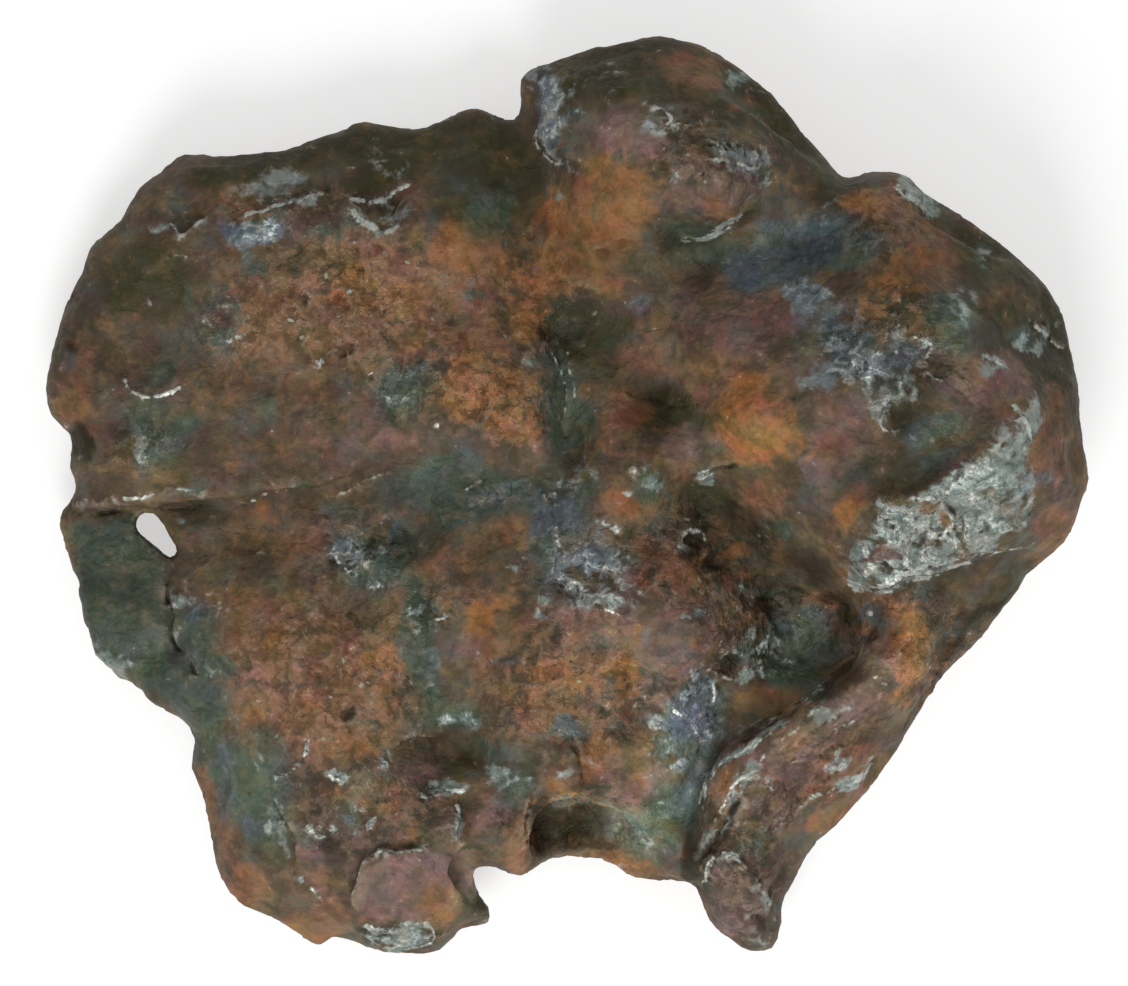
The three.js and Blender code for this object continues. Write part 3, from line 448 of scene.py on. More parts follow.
lump = bpy.data.objects.new("meteorite_crust", cadLump.data.copy())
bpy.context.scene.collection.objects.link(lump)
lump.data.materials.clear()
remesh = lump.modifiers.new("fineMesh", "REMESH")
remesh.mode = "VOXEL"
remesh.voxel_size = sculpt["voxel"] * mm
bakeModifiers(lump)
print("fine mesh:", len(lump.data.vertices), "points")

writePoints(lump.data, relax(readPoints(lump.data), readEdges(lump.data), sculpt["relaxRounds"]))
halveBands(lump.data)
pressRelief(lump.data)
print("relief pressed:", len(lump.data.vertices), "points")

# the mesh is thinned out everywhere but along the drawn lines
band = sculpt["bandWidth"] * sculpt["bandKept"]
kept = drawnNear(*strayed(readPoints(lump.data)), band) & (readNormals(lump.data)[:, 2] > 0)
spare = lump.vertex_groups.new(name="spare")
spare.add(np.flatnonzero(~kept).tolist(), 1.0, "REPLACE")
thin = lump.modifiers.new("thinOut", "DECIMATE")
thin.ratio = sculpt["triangles"] / sum(face.loop_total - 2 for face in lump.data.polygons)
thin.use_collapse_triangulate = True
thin.vertex_group = "spare"
thin.vertex_group_factor = 1e-6     # near nothing: the group says where, and the shape says how much
bakeModifiers(lump)
lump.vertex_groups.clear()
points = readPoints(lump.data)
points[:, 2] = np.maximum(points[:, 2], 0)    # nothing sinks below the floor
writePoints(lump.data, points)
lump.data.polygons.foreach_set("use_smooth", [True] * len(lump.data.polygons))
lump.data.update()
print("final mesh:", len(lump.data.polygons), "triangles")

# Stains of the upper face, each a soft ellipse: [x, y, half length, half width, turn, strength]. A negative
# strength clears what the ones before it have laid down
stains = {
    "umber": [
        [-10.5, 56.5, 3, 8, 38, 0.5], [100, 45, 9, 13, 30, 0.5], [1, -76.5, 8.5, 5.5, 0, 0.9],
        [-17, 68, 3, 5.5, 35, 0.5], [-7.5, 54, 3, 7, 38, 0.6], [2, 37, 3.5, 5, 35, 0.5],
        [17, 95, 11.5, 3, 10, 0.5], [46, -11.5, 8, 4.5, -45, 0.5], [62.5, -26.5, 4.5, 3, -30, 0.7],
        [48, -21.5, 6, 3, -20, 0.5], [113, 23, 6, 20.5, 3, 1], [109, 45, 8, 11.5, 20, 0.8],
        [97.5, 53, 8, 8, 30, 0.6], [101, 33.5, 7, 3.5, -35, 0.5], [-76, 75.5, 14.5, 3, 8, 1],
        [-53, 79, 17, 4, 8, 1], [-29, 79.5, 18.5, 7, 5, 1], [-15, 70.5, 9, 10.5, -60, 0.9],
        [-95.5, 49, 11.5, 9.5, 0, 0.9], [-105, 64.5, 8, 4, 45, 0.7], [10, 100, 17, 3.5, 14, 1],
        [-1.5, 89, 6, 3, 60, 0.6], [54, 83, 12, 6, -52, 1], [42.5, 90, 10.5, 4, -40, 0.7],
        [64, 69, 5.5, 3, 20, 0.8], [23.5, 19.5, 14, 4.5, -8, 1], [34.5, -3, 9.5, 5.5, -40, 1],
        [44.5, -11.5, 9, 4, -50, 0.9], [4.5, 38, 11, 7, -30, 0.9], [97.5, 53, 14.5, 3.5, -42, 0.7],
        [111.5, 29, 5, 16, 8, 0.8], [100, 34.5, 11.5, 4, -30, 0.6], [77, 9.5, 17, 3, 28, 0.7],
        [-112, 11.5, 2.5, 5.5, 0, 1], [-116, 31.5, 3, 4.5, 0, 0.8], [-102.5, 72.5, 4.5, 4.5, 0, 0.3],
        [-26.5, 64.5, 6, 7, 0, 0.6], [20.5, 97, 14, 4, 10, 0.5], [12.5, 30, 11.5, 6, 0, 0.5],
        [-84, -5.5, 9, 2, 5, 0.7], [-112, -4.5, 7, 1, 0, 0.9], [90.5, -44.5, 9, 3, 50, 0.5],
        [100, -24, 11.5, 4.5, 45, 0.6], [67.5, -80.5, 14, 3.5, 52, 0.6], [31, -86, 3, 6, 60, 0.7],
        [-20, -94, 3, 7, -50, 0.8], [78, 20, 6, 4.5, 30, 0.8], [70, 23, 4.5, 5.5, 0, 0.5],
        [17, -14.5, 4.5, 4.5, 0, 0.4], [-31.5, -62, 12, 5.5, 0, 0.5], [-77, 74, 7, 3, 10, 0.6],
        [-111.5, 11.5, 2, 5, 0, 1], [-26.5, 79.5, 7, 6, 0, 0.8], [-44.5, 72.5, 8, 3, 0, 0.9],
        [-86.5, 64.5, 3.5, 3, 0, 0.8], [-54.5, 40.5, 3.5, 3, 0, 0.5], [-39.5, 54.5, 2.5, 2, 0, 0.5],
        [7.5, 36.5, 7, 4, 15, 0.7], [5.5, 86.5, 7, 2.5, 20, 0.5], [1, 94, 5.5, 3, 20, 0.8],
        [10, 93.5, 8.5, 3, 10, 0.7], [37.5, 86.5, 6, 4.5, -30, 0.9], [26, 92, 9, 3, 0, 0.6],
        [47, 89, 4.5, 7, -40, 0.9], [63, 71.5, 7, 2.5, 10, 0.9], [78, 27, 3.5, 4, 0, 0.7],
        [112.5, 23, 3, 7, 0, 0.8], [100, 40.5, 9, 3, -35, 0.8], [102, 25.5, 7, 2, -20, 0.7],
        [80.5, 5, 9, 3.5, 30, 0.9], [77, 0, 5.5, 2, 30, 0.8], [32, -3, 6, 3, -10, 1],
        [38.5, -5.5, 6, 3, -30, 0.9], [47, -14.5, 5, 6, -40, 0.9], [28.5, 17.5, 6, 2, -15, 0.7],
        [21.5, 15, 5, 2.5, -20, 0.6], [-84, -3.5, 6, 2, 0, 0.9], [-63.5, 0, 5.5, 0.5, 2, 0.6],
        [-14, -11.5, 5.5, 5.5, 0, 0.5], [-22, -18, 8.5, 5, 0, 0.5], [-15, -27.5, 5, 2, 0, 0.8],
        [3, -50.5, 3, 3, 40, 0.7], [-37, -79, 8, 2, 6, 0.8], [-26.5, -62, 6, 4, 0, 0.8],
        [44.5, -88.5, 2, 9, -10, 0.8], [96.5, -25, 8, 2.5, 42, 0.8], [100, -11.5, 4.5, 3.5, 0, 0.5],
        [88.5, -36.5, 3, 2.5, 40, 0.6], [-54.5, 31.5, 2.5, 2, 0, 0.3], [11.5, 13, 3, 3, 0, 0.4],
        [17, 18.5, 5, 3, 0, 0.6],
    ],
    "rust": [
        [44, -47, 5.5, 2.5, 15, 0.4], [48, -46, 6, 2, 20, 0.5], [-46, 45, 27.5, 14.5, 0, 0.9],
        [-61, 36, 20.5, 11.5, 0, 0.6], [-22, 49.5, 14, 14, 0, 0.6], [28.5, 98, 7.5, 4, -10, 0.8],
        [-112, 25.5, 5.5, 10.5, 10, 0.8], [-105, 38, 7, 4.5, 30, 0.5], [-56.5, -40, 22, 22, 0, 0.85],
        [-70.5, -28.5, 11.5, 9, 0, 0.8], [-80.5, -67.5, 3, 9, -8, 0.9], [-56.5, -98.5, 10.5, 4.5, 10, 1],
        [-28, -94, 5, 6.5, 0, 0.7], [-75, -88.5, 9, 5.5, -40, 0.7], [-67, -8, 12.5, 7, 0, 0.6],
        [-72.5, 68, 14, 5, 10, 0.5], [31, -18, 11.5, 6, -30, 0.7], [14.5, -1, 8.5, 5.5, 20, 0.8],
        [13.5, 17.5, 6, 8, 0, 0.7], [-1.5, -44.5, 14, 10, 0, 0.75], [-15, -33, 10, 14, 0, 0.5],
        [65.5, -3, 5.5, 3.5, 40, 0.9], [44.5, -1, 5.5, 9, -30, 0.7], [54, -10, 6.5, 7, 0, 0.5],
        [-15, -24, 3, 2.5, 0, 0.9], [-1.5, -65, 6, 4.5, 0, 0.8], [-10.5, -80.5, 4, 6.5, 0, 1],
        [8, -33, 9, 8.5, 0, 0.5], [-25.5, -14.5, 11.5, 11.5, 0, 0.5], [77, -33, 6, 9.5, 10, 0.9],
        [110, -11.5, 6, 5, 40, 0.8], [110, 13, 5.5, 11.5, 0, 0.7], [37.5, -65.5, 3, 8.5, 25, 1],
        [44.5, -47, 8, 3, 10, 0.9], [67.5, -67.5, 8.5, 14, 35, 0.8], [17, -84, 11.5, 3, 10, 1],
        [51.5, -47, 7, 4.5, 30, 0.7], [82.5, 54.5, 7, 5, 0, 0.6], [100, 45, 7, 5.5, 0, 0.4],
        [77, 62.5, 9, 5, 0, 0.7], [-22, 28, 14, 11.5, 0, 0.6], [-31.5, -1, 14, 3, 0, 0.3],
        [-49.5, 13, 20.5, 5, -4, 0.3], [19.5, 31.5, 8.5, 6, 0, 0.6], [47, 54.5, 3, 2.5, 0, 0.2],
        [-52, -14.5, 6, 5.5, 0, 0.3], [-33.5, 68, 4, 3.5, 0, 0.4], [-43, -74.5, 14, 7, 0, 0.6],
        [-63.5, -77, 7, 9, 0, 0.6], [8, -60.5, 8.5, 7, 0, 0.6], [58.5, -24, 4.5, 3, 0, 0.8],
        [83.5, -14.5, 8, 3, 20, 0.6], [34.5, 26.5, 7, 9, 0, 0.6], [24, -33, 7, 9, 0, 0.4],
        [-93.5, 67, 9, 4.5, 0, 0.5], [17, -67.5, 6, 9, 0, 0.4], [72, 68, 7, 4, 0, 0.7],
        [28.5, 6, 4.5, 3.5, 0, 0.5], [-86.5, 22, 11.5, 5.5, 0, 0.4], [-61, 23, 14, 5.5, 0, 0.4],
        [-72.5, 54.5, 7, 9, 0, 0.3], [-76, 70.5, 5, 3, 0, 0.6], [-109.5, 32.5, 3, 2.5, 0, 0.6],
        [-113, 21, 3, 5.5, 0, 0.8], [-60, 34.5, 6, 8.5, 0, 0.7], [-29, 47.5, 4, 4.5, 20, 0.7],
        [-23, 22, 9, 5, 0, 0.6], [-39.5, 45, 14, 7, 0, 0.5], [12.5, 17.5, 4.5, 6, 0, 0.8],
        [4.5, 17.5, 3, 3, 0, 0.3], [4.5, -10, 6, 3.5, 0, 0.8], [6.5, -36.5, 4.5, 3.5, 0, 0.5],
        [-10.5, -8, 6, 4, 0, 0.7], [-30.5, -16, 2.5, 3, 0, 0.7], [-40.5, -25, 7, 4, 0, 0.7],
        [-38.5, -20, 3, 2.5, 0, 0.8], [-20, -33.5, 3, 3, 0, 0.7], [-68.5, -33, 10, 7.5, 0, 0.8],
        [-69, -45, 6, 2.5, 0, 0.8], [-70, -50.5, 6, 3, 0, 0.9], [-60, -55, 5.5, 5, 0, 0.6],
        [-46, -57.5, 5, 3, 0, 0.6], [-83, -67.5, 3, 6, 0, 0.9], [-77.5, -77, 3, 5, -20, 0.7],
        [-72.5, -89.5, 5.5, 3.5, -30, 0.8], [-54.5, -89.5, 5, 3.5, 0, 0.6],
        [-55.5, -67.5, 5.5, 2.5, 0, 0.5], [-37.5, -70, 5.5, 4, 0, 0.8], [-34, -77, 2, 1.5, 0, 0.8],
        [-28, -93, 4.5, 4.5, 0, 0.7], [-29, -100, 3.5, 2, 20, 0.8], [-11.5, -80.5, 3, 6, 0, 0.8],
        [17, -84, 9, 2, 10, 0.8], [9, -80.5, 4.5, 2, 0, 0.5], [34.5, -67.5, 2.5, 6, 20, 1],
        [36.5, -62, 2.5, 3, 0, 0.8], [44.5, -47, 5.5, 3, 10, 0.9], [60.5, -39, 3, 2.5, 20, 1],
        [70, -31, 2, 2, 0, 1], [54, -14.5, 5, 7, -20, 0.5], [60.5, -18, 5.5, 4, 0, 0.8],
        [72, -21.5, 4, 2, 0, 0.6], [28.5, 98, 6.5, 3, -10, 0.7], [32, 96, 3, 2, 0, 0.7],
        [39, 89, 3, 2.5, 0, 0.5], [83.5, 54, 3, 3, 0, 0.8], [70, 67, 5.5, 3.5, 0, 0.8],
        [68, 61.5, 3.5, 2, 0, 0.6], [56, 30, 3, 2.5, 0, 0.9], [94, 29, 3, 2, -20, 0.9],
        [81.5, 28.5, 3, 2.5, 0, 0.5], [100, 20, 4.5, 3, 0, 0.6], [113.5, -4.5, 4, 3, 0, 0.9],
        [116, 9.5, 2.5, 6, 0, 0.6], [86, -6, 1.5, 2, 0, 0.8], [82.5, -3, 1.5, 2, 0, 0.6],
        [35.5, 66, 4.5, 2.5, -10, 0.8], [43.5, 69, 3, 3, 0, 0.6], [19.5, -1, 3, 2.5, 0, 0.6],
        [21.5, -11.5, 5.5, 3, 0, 0.8], [28.5, -18, 5.5, 3, 0, 0.9], [35.5, -9, 3.5, 3, 0, 0.7],
        [40, -28.5, 6, 3.5, 0, 0.5], [28.5, 23, 4.5, 2.5, 0, 0.5], [69, -70, 6, 3, 40, 0.7],
        [60.5, -73.5, 5.5, 2.5, 35, 0.8], [54, -83.5, 4, 4.5, 30, 0.5], [67.5, -54, 5.5, 2, 38, 0.8],
        [72, -59.5, 2.5, 4, 38, 0.6], [57.5, -67.5, 7, 2, 28, 0.8], [83.5, -44.5, 2.5, 5.5, 40, 0.5],
        [54, -56, 4.5, 2, 30, 0.6], [-95.5, -21.5, 2.5, 2, 0, 0.6], [-86.5, -20.5, 3, 1.5, 0, 0.3],
        [-106, -26, 3.5, 3, 0, 0.4], [-94.5, -18, 2.5, 2.5, 0, 0.4], [-26.5, 23, 4.5, 3, 0, 0.4],
        [44.5, 45, 7, 5.5, 0, 0.3], [60.5, 15, 6, 7, 0, 0.5],
    ],
    "ochre": [
        [75.5, -47.5, 4, 3, 40, 0.6], [74, -31.5, 4.5, 6, 20, 0.4], [-4, -68, 3, 3, -30, 0.6],
        [5.5, -64, 2.5, 3.5, 0, 0.5], [-6.5, -78.5, 1, 3.5, 0, 0.7], [8, -76, 2, 3, 0, 0.5],
        [3, -79.5, 3, 1.5, 0, 0.4], [-17.5, 23, 15, 8.5, -25, 1], [8, 64.5, 12, 10, 0, 1],
        [-7, 53, 9, 9, 0, 0.9], [-49.5, 48.5, 8.5, 5.5, 0, 0.8], [-38, 45, 14, 5.5, -10, 0.6],
        [-25.5, 56.5, 6, 9, -20, 0.7], [42.5, 16.5, 8.5, 10, -20, 1], [71, 47.5, 6, 4, 40, 0.8],
        [67.5, 67, 6, 3.5, 0, 0.6], [78, 54, 6, 3, 30, 0.8], [14.5, -41, 3, 5.5, 35, 1],
        [-68, -32, 4, 3.5, 0, 0.4], [-52, -44.5, 9, 4.5, 0, 0.2], [-70.5, -47, 6, 3.5, 0, 0.25],
        [-41.5, -35.5, 5, 2.5, 20, 0.8], [-59, -57.5, 11.5, 3, -10, 0.25], [65.5, -3, 3, 2.5, 40, 0.8],
        [78, -35.5, 3.5, 11.5, 5, 0.7], [14.5, 75, 5.5, 5.5, 0, 0.5], [-5, -44.5, 10, 4.5, -30, 0.5],
        [-1.5, -57.5, 3.5, 4.5, 0, 0.5], [17, -81.5, 12, 3, 14, 0.7], [-57.5, -101, 7, 2, 0, 0.8],
        [-15, 59, 4.5, 4.5, 0, 0.5], [8, 53, 8.5, 8, 0, 0.7], [100, -33, 5.5, 4.5, 45, 0.5],
        [88.5, -36.5, 3.5, 3.5, 0, 0.5], [28.5, -11.5, 5.5, 4.5, 0, 0.6], [-9.5, -79, 2, 7, 0, 0.7],
        [-75, -94, 6, 3, -35, 0.7], [-110.5, 23, 3, 5.5, 0, 0.7], [-31.5, 60, 3, 3, 0, 0.5],
        [10, -1, 3, 3, 0, 0.6], [-1.5, -71, 9, 1.5, 0, 0.5], [-67, -5.5, 4, 3, 0, 0.6],
        [2, 62.5, 9, 5, 0, 1], [10, 66, 8, 6, 0, 1], [17, 69, 4.5, 5.5, 0, 0.7], [-1.5, 67, 3.5, 3, 0, 0.8],
        [-8.5, 55.5, 7, 4.5, 0, 0.8], [4.5, 52, 5, 4, 0, 0.8], [-8.5, 44, 5, 2.5, -10, 1],
        [-10, 39.5, 5, 3, 0, 0.9], [-26, 57.5, 3, 6, -15, 1], [-49.5, 50, 4, 3, 0, 1],
        [-38.5, 45, 6, 4, 0, 0.6], [-23, 26.5, 7, 5, 0, 1], [-14, 33.5, 3, 2, 0, 0.6],
        [-10.5, 22, 7, 4.5, 0, 0.7], [-32.5, 34.5, 5, 2.5, 0, 0.6], [-29, 39.5, 8, 1, 6, 0.6],
        [42.5, 22, 6, 4.5, 0, 1], [43.5, 13, 6, 5, 0, 1], [50.5, 15, 2.5, 8, 0, 0.8],
        [39, 9.5, 4.5, 2, 0, 0.8], [54.5, 9.5, 1.5, 1, -40, 1], [12.5, -1, 3.5, 3, 0, 1],
        [15.5, -3, 2.5, 2, 0, 0.8], [39, -13, 4.5, 2, 10, 1], [41, -17.5, 1.5, 2, 0, 0.8],
        [64, -3, 2.5, 3, 20, 1], [85, 55.5, 3, 2, 0, 0.7], [78, 48.5, 4, 3, 0, 0.9],
        [70.5, 47.5, 3.5, 3, 0, 1], [70, 43, 4.5, 3, 0, 1], [64, 39.5, 3, 2, 0, 0.8],
        [78, 44.5, 3, 1.5, 0, 0.9], [56.5, 31.5, 2.5, 1.5, 0, 0.6], [78, -28.5, 4.5, 6, 0, 0.9],
        [79, -40.5, 3.5, 3, 0, 1], [77, -35.5, 2.5, 3, 0, 0.7], [17, -30.5, 3.5, 1.5, -20, 0.9],
        [14.5, -33.5, 2.5, 1.5, 0, 0.8], [10.5, -39, 2.5, 2, 0, 1], [13.5, -43, 2, 3, 30, 1],
        [8, -44.5, 2, 4, 10, 0.7], [-41.5, -36, 3, 3, 0, 1], [-45, -36.5, 2, 2.5, 0, 0.8],
        [-39.5, -39.5, 2, 2, 0, 0.8], [-42.5, -43, 2.5, 1.5, 30, 1], [-47.5, -39.5, 3, 1.5, 0, 0.7],
        [-53, -39.5, 3, 1.5, 0, 0.7], [-67.5, -33, 2, 3, 0, 0.6], [-70, -50.5, 3, 1.5, 0, 0.6],
        [-60, -56, 3, 2, 0, 0.5], [-46, -57.5, 3.5, 2, 0, 0.6], [-56.5, -48, 4.5, 2, 0, 0.5],
        [-38, -51.5, 4, 2, 0, 0.4], [-55.5, -67.5, 2.5, 1.5, 0, 0.9], [-49.5, -68, 2, 1, 0, 0.8],
        [-39.5, -71, 3.5, 2, 0, 0.8], [-46, -70, 2, 2.5, 0, 0.6], [-34, -76.5, 1, 1, 0, 1],
        [-28, -96.5, 3.5, 3, 0, 0.8], [-14, -24.5, 3.5, 1.5, 0, 0.8], [-20, -27.5, 3, 3, 20, 1],
        [-21.5, -30.5, 1.5, 1.5, 0, 1], [-1.5, -41, 8, 4.5, 0, 0.7], [6.5, -56, 3, 3.5, 0, 0.8],
        [3, -60.5, 1.5, 3.5, 0, 0.9], [-1.5, -66, 2, 1.5, 0, 1], [2, -68, 2, 1, 0, 1],
        [11, -57.5, 1, 1, 0, 1], [3, -79, 1.5, 1, 0, 1], [-10.5, -47, 5, 3.5, 0, 0.6],
        [-8.5, -52.5, 6, 2.5, 0, 0.5], [-74, -87, 2, 2, 0, 0.7], [-70, -2, 2.5, 1.5, 0, 1],
        [-66, -6, 2, 1.5, 0, 1], [-64.5, -2, 1.5, 1, 0, 0.7], [-61, -100, 5.5, 2, -20, 0.8],
        [-55.5, -102, 3, 1.5, 0, 0.9], [41, -47, 2, 1.5, 0, 1], [44.5, -63, 3.5, 2, 0, 0.5],
        [58.5, -74.5, 4.5, 2, 35, 0.8], [67.5, -57.5, 2.5, 1.5, 30, 0.6], [31, -70, 1.5, 3, 20, 0.6],
        [84, -33, 3, 3.5, 30, 0.5], [88.5, -31, 1.5, 3, 10, 0.8], [37.5, -75.5, 2.5, 1, 30, 0.6],
        [31, 89, 2.5, 1.5, 0, 0.3], [8, 75, 4, 2, 0, 0.6], [108, 6, 2, 3.5, 0, 0.4],
        [102, -28.5, 2.5, 4.5, 45, 0.4], [-76, 7, 3, 2.5, 0, 0.5], [-63.5, 9.5, 4.5, 2.5, 0, 0.4],
        [-59, 45, 3.5, 3, 0, 0.5], [-18.5, 66.5, 2.5, 7.5, 35, -0.7], [-11, 56.5, 3, 7, 38, -0.6],
        [-2.5, 45, 4, 5.5, 20, 0.35], [1.5, 47.5, 3.5, 3, 0, 0.3],
    ],
    "mauve": [
        [13.5, -70, 6, 4, 0, 0.5], [-23.5, -85.5, 3, 7, 15, 0.6], [64.5, -33, 3.5, 6, 20, 0.8],
        [55, -31.5, 3, 2.5, 0, 0.6], [46, -47, 9, 3.5, 25, 0.7], [36, -67.5, 2.5, 5.5, -25, 0.5],
        [55, -57.5, 9, 5.5, 30, 0.7], [51.5, -44.5, 6, 2.5, 35, 0.6], [-61, -37.5, 11.5, 8, 0, 0.6],
        [-52, -52.5, 11.5, 6, 0, 0.6], [-70.5, -24, 7, 3, 0, 0.4], [-40.5, -60.5, 7, 4.5, 0, 0.4],
        [-61, -49, 4.5, 3, 0, 0.4], [14.5, 82, 8, 7, 0, 0.9], [33, 70.5, 9.5, 7, 0, 0.9],
        [35.5, 40.5, 12.5, 7, -10, 0.85], [94, 28, 11.5, 6, -15, 0.8], [26, -33, 10, 12.5, 0, 0.8],
        [59.5, -36.5, 7, 4, 20, 0.7], [56, -60.5, 18.5, 8, 50, 0.85], [40, -93, 7, 10, -20, 0.9],
        [-37, -89, 13.5, 8.5, 0, 1], [8, -24, 11.5, 7, 0, 0.5], [17, -19.5, 9, 7, 0, 0.5],
        [49, -21.5, 7, 7, 0, 0.5], [113.5, 3.5, 4.5, 9, 0, 0.5], [35.5, -54, 4, 4, 0, 0.7],
        [-17.5, -74.5, 5.5, 6, 0, 0.6], [-31.5, -62, 8.5, 4, 0, 0.5], [44.5, 33.5, 7, 9, 0, 0.6],
        [-43, 15, 25.5, 4, -3, 0.45], [-6, 10.5, 5.5, 3.5, 0, 0.7], [58.5, 10.5, 6, 11.5, 0, 0.6],
        [65.5, 15, 9, 8, 0, 0.5], [-63.5, 3.5, 20.5, 2.5, -3, 0.35], [-1.5, -33, 14, 5.5, 0, 0.5],
        [-54.5, -83.5, 9, 7, 0, 0.5], [44.5, -58.5, 4.5, 8.5, 40, 0.6], [-1.5, -51.5, 7, 7, 0, 0.3],
        [72, -14.5, 6, 2.5, 20, 0.5], [26, 87.5, 6, 3, -10, 0.4], [-51, 72.5, 4.5, 3, 0, 0.3],
        [13.5, 79.5, 6, 4, 0, 0.8], [31, 71.5, 6, 3, 0, 0.9], [32, 78.5, 4.5, 2, 0, 0.4],
        [36.5, 69, 4.5, 3, 0, 0.6], [-93.5, 61.5, 3, 1.5, 0, 0.9], [4.5, 86, 3, 2, 0, 0.6],
        [-20, 48.5, 4, 1.5, 0, 0.8], [48, 42.5, 7, 4, 0, 0.8], [35.5, 47.5, 4.5, 3, 0, 0.6],
        [26, 45, 4.5, 3, 0, 0.5], [87, 28.5, 4.5, 3, -35, 0.9], [89.5, 23, 5.5, 2, -30, 0.7],
        [97.5, 22, 5.5, 2, 0, 0.6], [86, 17.5, 3, 2.5, 0, 0.6], [54, 24.5, 6, 7, 0, 0.6],
        [63, 21, 5.5, 4, 0, 0.5], [69, 9.5, 5, 7, 0, 0.5], [28.5, 13, 7, 3.5, 0, 0.7],
        [26, 9.5, 4.5, 3, 0, 0.7], [17, -24, 7, 3, 0, 0.6], [23, -25, 4.5, 5.5, 0, 0.8],
        [31, -32, 3, 4.5, 0, 1], [20.5, -35.5, 5.5, 3.5, 0, 0.8], [8, -29.5, 8.5, 3, 0, 0.6],
        [20.5, -44.5, 3.5, 7, 0, 0.7], [20.5, -64, 4.5, 5.5, 0, 0.9], [14.5, -67.5, 3.5, 4.5, 0, 0.6],
        [36, -54.5, 3.5, 3, 20, 0.9], [60.5, -34.5, 3, 2, 10, 1], [62, -56, 8.5, 1.5, 33, 0.9],
        [54, -59.5, 4.5, 2, 40, 0.9], [65.5, -47, 5.5, 3, 35, 0.6], [55, -50.5, 3.5, 1.5, 0, 0.4],
        [-36, -88.5, 10, 5.5, 0, 0.8], [-40.5, -92, 5.5, 3, 0, 0.7], [-32.5, -71, 4.5, 3.5, 0, 0.6],
        [-32.5, -62, 4.5, 3.5, 0, 0.8], [-22, -33, 1, 2.5, 0, 0.8], [-30, -39.5, 2.5, 3, 0, 0.4],
        [-61, -81.5, 5.5, 5.5, 0, 0.6], [-62.5, -69, 4.5, 3, 0, 0.5], [-66, -58.5, 3.5, 3, 0, 0.7],
        [-86.5, -43, 3, 2, 0, 0.8], [-102.5, -9, 4.5, 3, 0, 0.5], [-102.5, -13.5, 3, 2.5, 0, 0.4],
        [-63.5, 13, 7, 2.5, 0, 0.4], [-43, 11.5, 7, 3, 0, 0.4], [-51, -14.5, 2.5, 1.5, 0, 0.4],
        [39, -93, 4.5, 7, -20, 0.8], [35.5, -86, 3, 3, 0, 0.8], [73.5, -13.5, 4, 3, 30, 0.9],
        [66, -16, 2, 3, 0, 0.8], [113, -3.5, 3, 2.5, 0, 0.4], [109, 22, 2.5, 4.5, 0, 0.4],
        [-3.5, -62, 3, 3, 0, 0.5], [-18.5, -73.5, 2.5, 3, 0, 0.7], [-15, -66.5, 2.5, 2, 0, 0.3],
        [44.5, 3.5, 7, 7, 0, 0.3],
    ],
    "teal": [
        [32, 57.5, 10.5, 5, -20, 0.8], [0, 20, 3, 11.5, 6, 0.85], [88.5, 42.5, 6.5, 6.5, 0, 0.8],
        [81.5, 15.5, 5.5, 3, 20, 0.8], [53.5, -34.5, 9.5, 8.5, -20, 0.9], [-20, 0, 23, 5.5, -2, 0.9],
        [-33.5, -33, 5, 15, 4, 0.9], [-46, -14.5, 9, 8, 0, 0.8], [-37.5, 23, 5.5, 6.5, 0, 0.9],
        [-103.5, -24, 11.5, 19.5, -20, 0.9], [-89, -43.5, 15, 7, -35, 0.9], [-71, -70, 8.5, 15, 22, 0.9],
        [51.5, -37.5, 9, 7, 0, 0.6], [14.5, -76.5, 7, 6, 0, 0.45], [23.5, -75, 6, 9.5, 0, 0.55],
        [-93.5, 15, 8, 8.5, 30, 0.8], [-77.5, 39.5, 3, 3.5, 0, 0.4], [-69, 20, 4, 4.5, 0, 0.6],
        [17, 53, 8.5, 4, 0, 0.5], [2, 36.5, 4.5, 3, 0, 0.5], [-20, 45, 4.5, 1.5, 0, 0.8],
        [-6, 32.5, 4, 2, 0, 0.6], [-29, -51.5, 10, 4, 10, 0.7], [-15, -44.5, 5, 4.5, 0, 0.3],
        [-17.5, 64.5, 6, 8, -50, 0.6], [-10.5, -63, 8, 5.5, 0, 0.6], [8, -11.5, 9, 14, 0, 0.4],
        [-2.5, 3.5, 4.5, 7, 0, 0.6], [19.5, 1.5, 4, 4.5, 0, 0.7], [31.5, 5.5, 3, 3, 0, 0.7],
        [-54.5, -74.5, 7, 9, 0, 0.4], [39, 95.5, 5, 3, 0, 0.8], [14.5, 86.5, 20.5, 9, 0, 0.25],
        [42.5, 68, 5.5, 4.5, 0, 0.5], [-100.5, -10, 9, 4.5, 0, 0.7], [37.5, 56.5, 7, 3, 0, 0.6],
        [-49.5, -24, 9, 4.5, 0, 0.5], [77, 33.5, 7, 4.5, 0, 0.3], [63, -14.5, 5.5, 2.5, 0, 0.3],
        [-85.5, -33, 9, 7, 0, 0.8], [-66, -60.5, 3, 9, 24, 0.6], [104, 35.5, 3, 2, -20, 0.9],
        [85, 7, 5.5, 2.5, 20, 0.8], [-22, -35.5, 3, 7, 0, 0.4], [28.5, -60.5, 10, 14, 0, 0.5],
        [55, -18, 6.5, 4.5, 0, 0.6], [44.5, -23, 4, 3, 0, 0.4], [-25.5, 4, 14, 3, 0, 0.6],
        [-107, -35.5, 4.5, 5.5, 0, 0.7], [20.5, 62.5, 4.5, 2.5, 0, 0.4], [-41.5, 17.5, 9, 3, 0, 0.3],
        [-1.5, 45, 2.5, 3.5, 20, 0.2], [-90, 65.5, 2, 2.5, 0, 0.8], [-79, 65.5, 3, 1.5, 0, 0.6],
        [-99, 67, 2, 1.5, 0, 0.5], [-59, 72, 3, 1.5, 0, 0.6], [-86, 46, 2.5, 3, 0, 0.7],
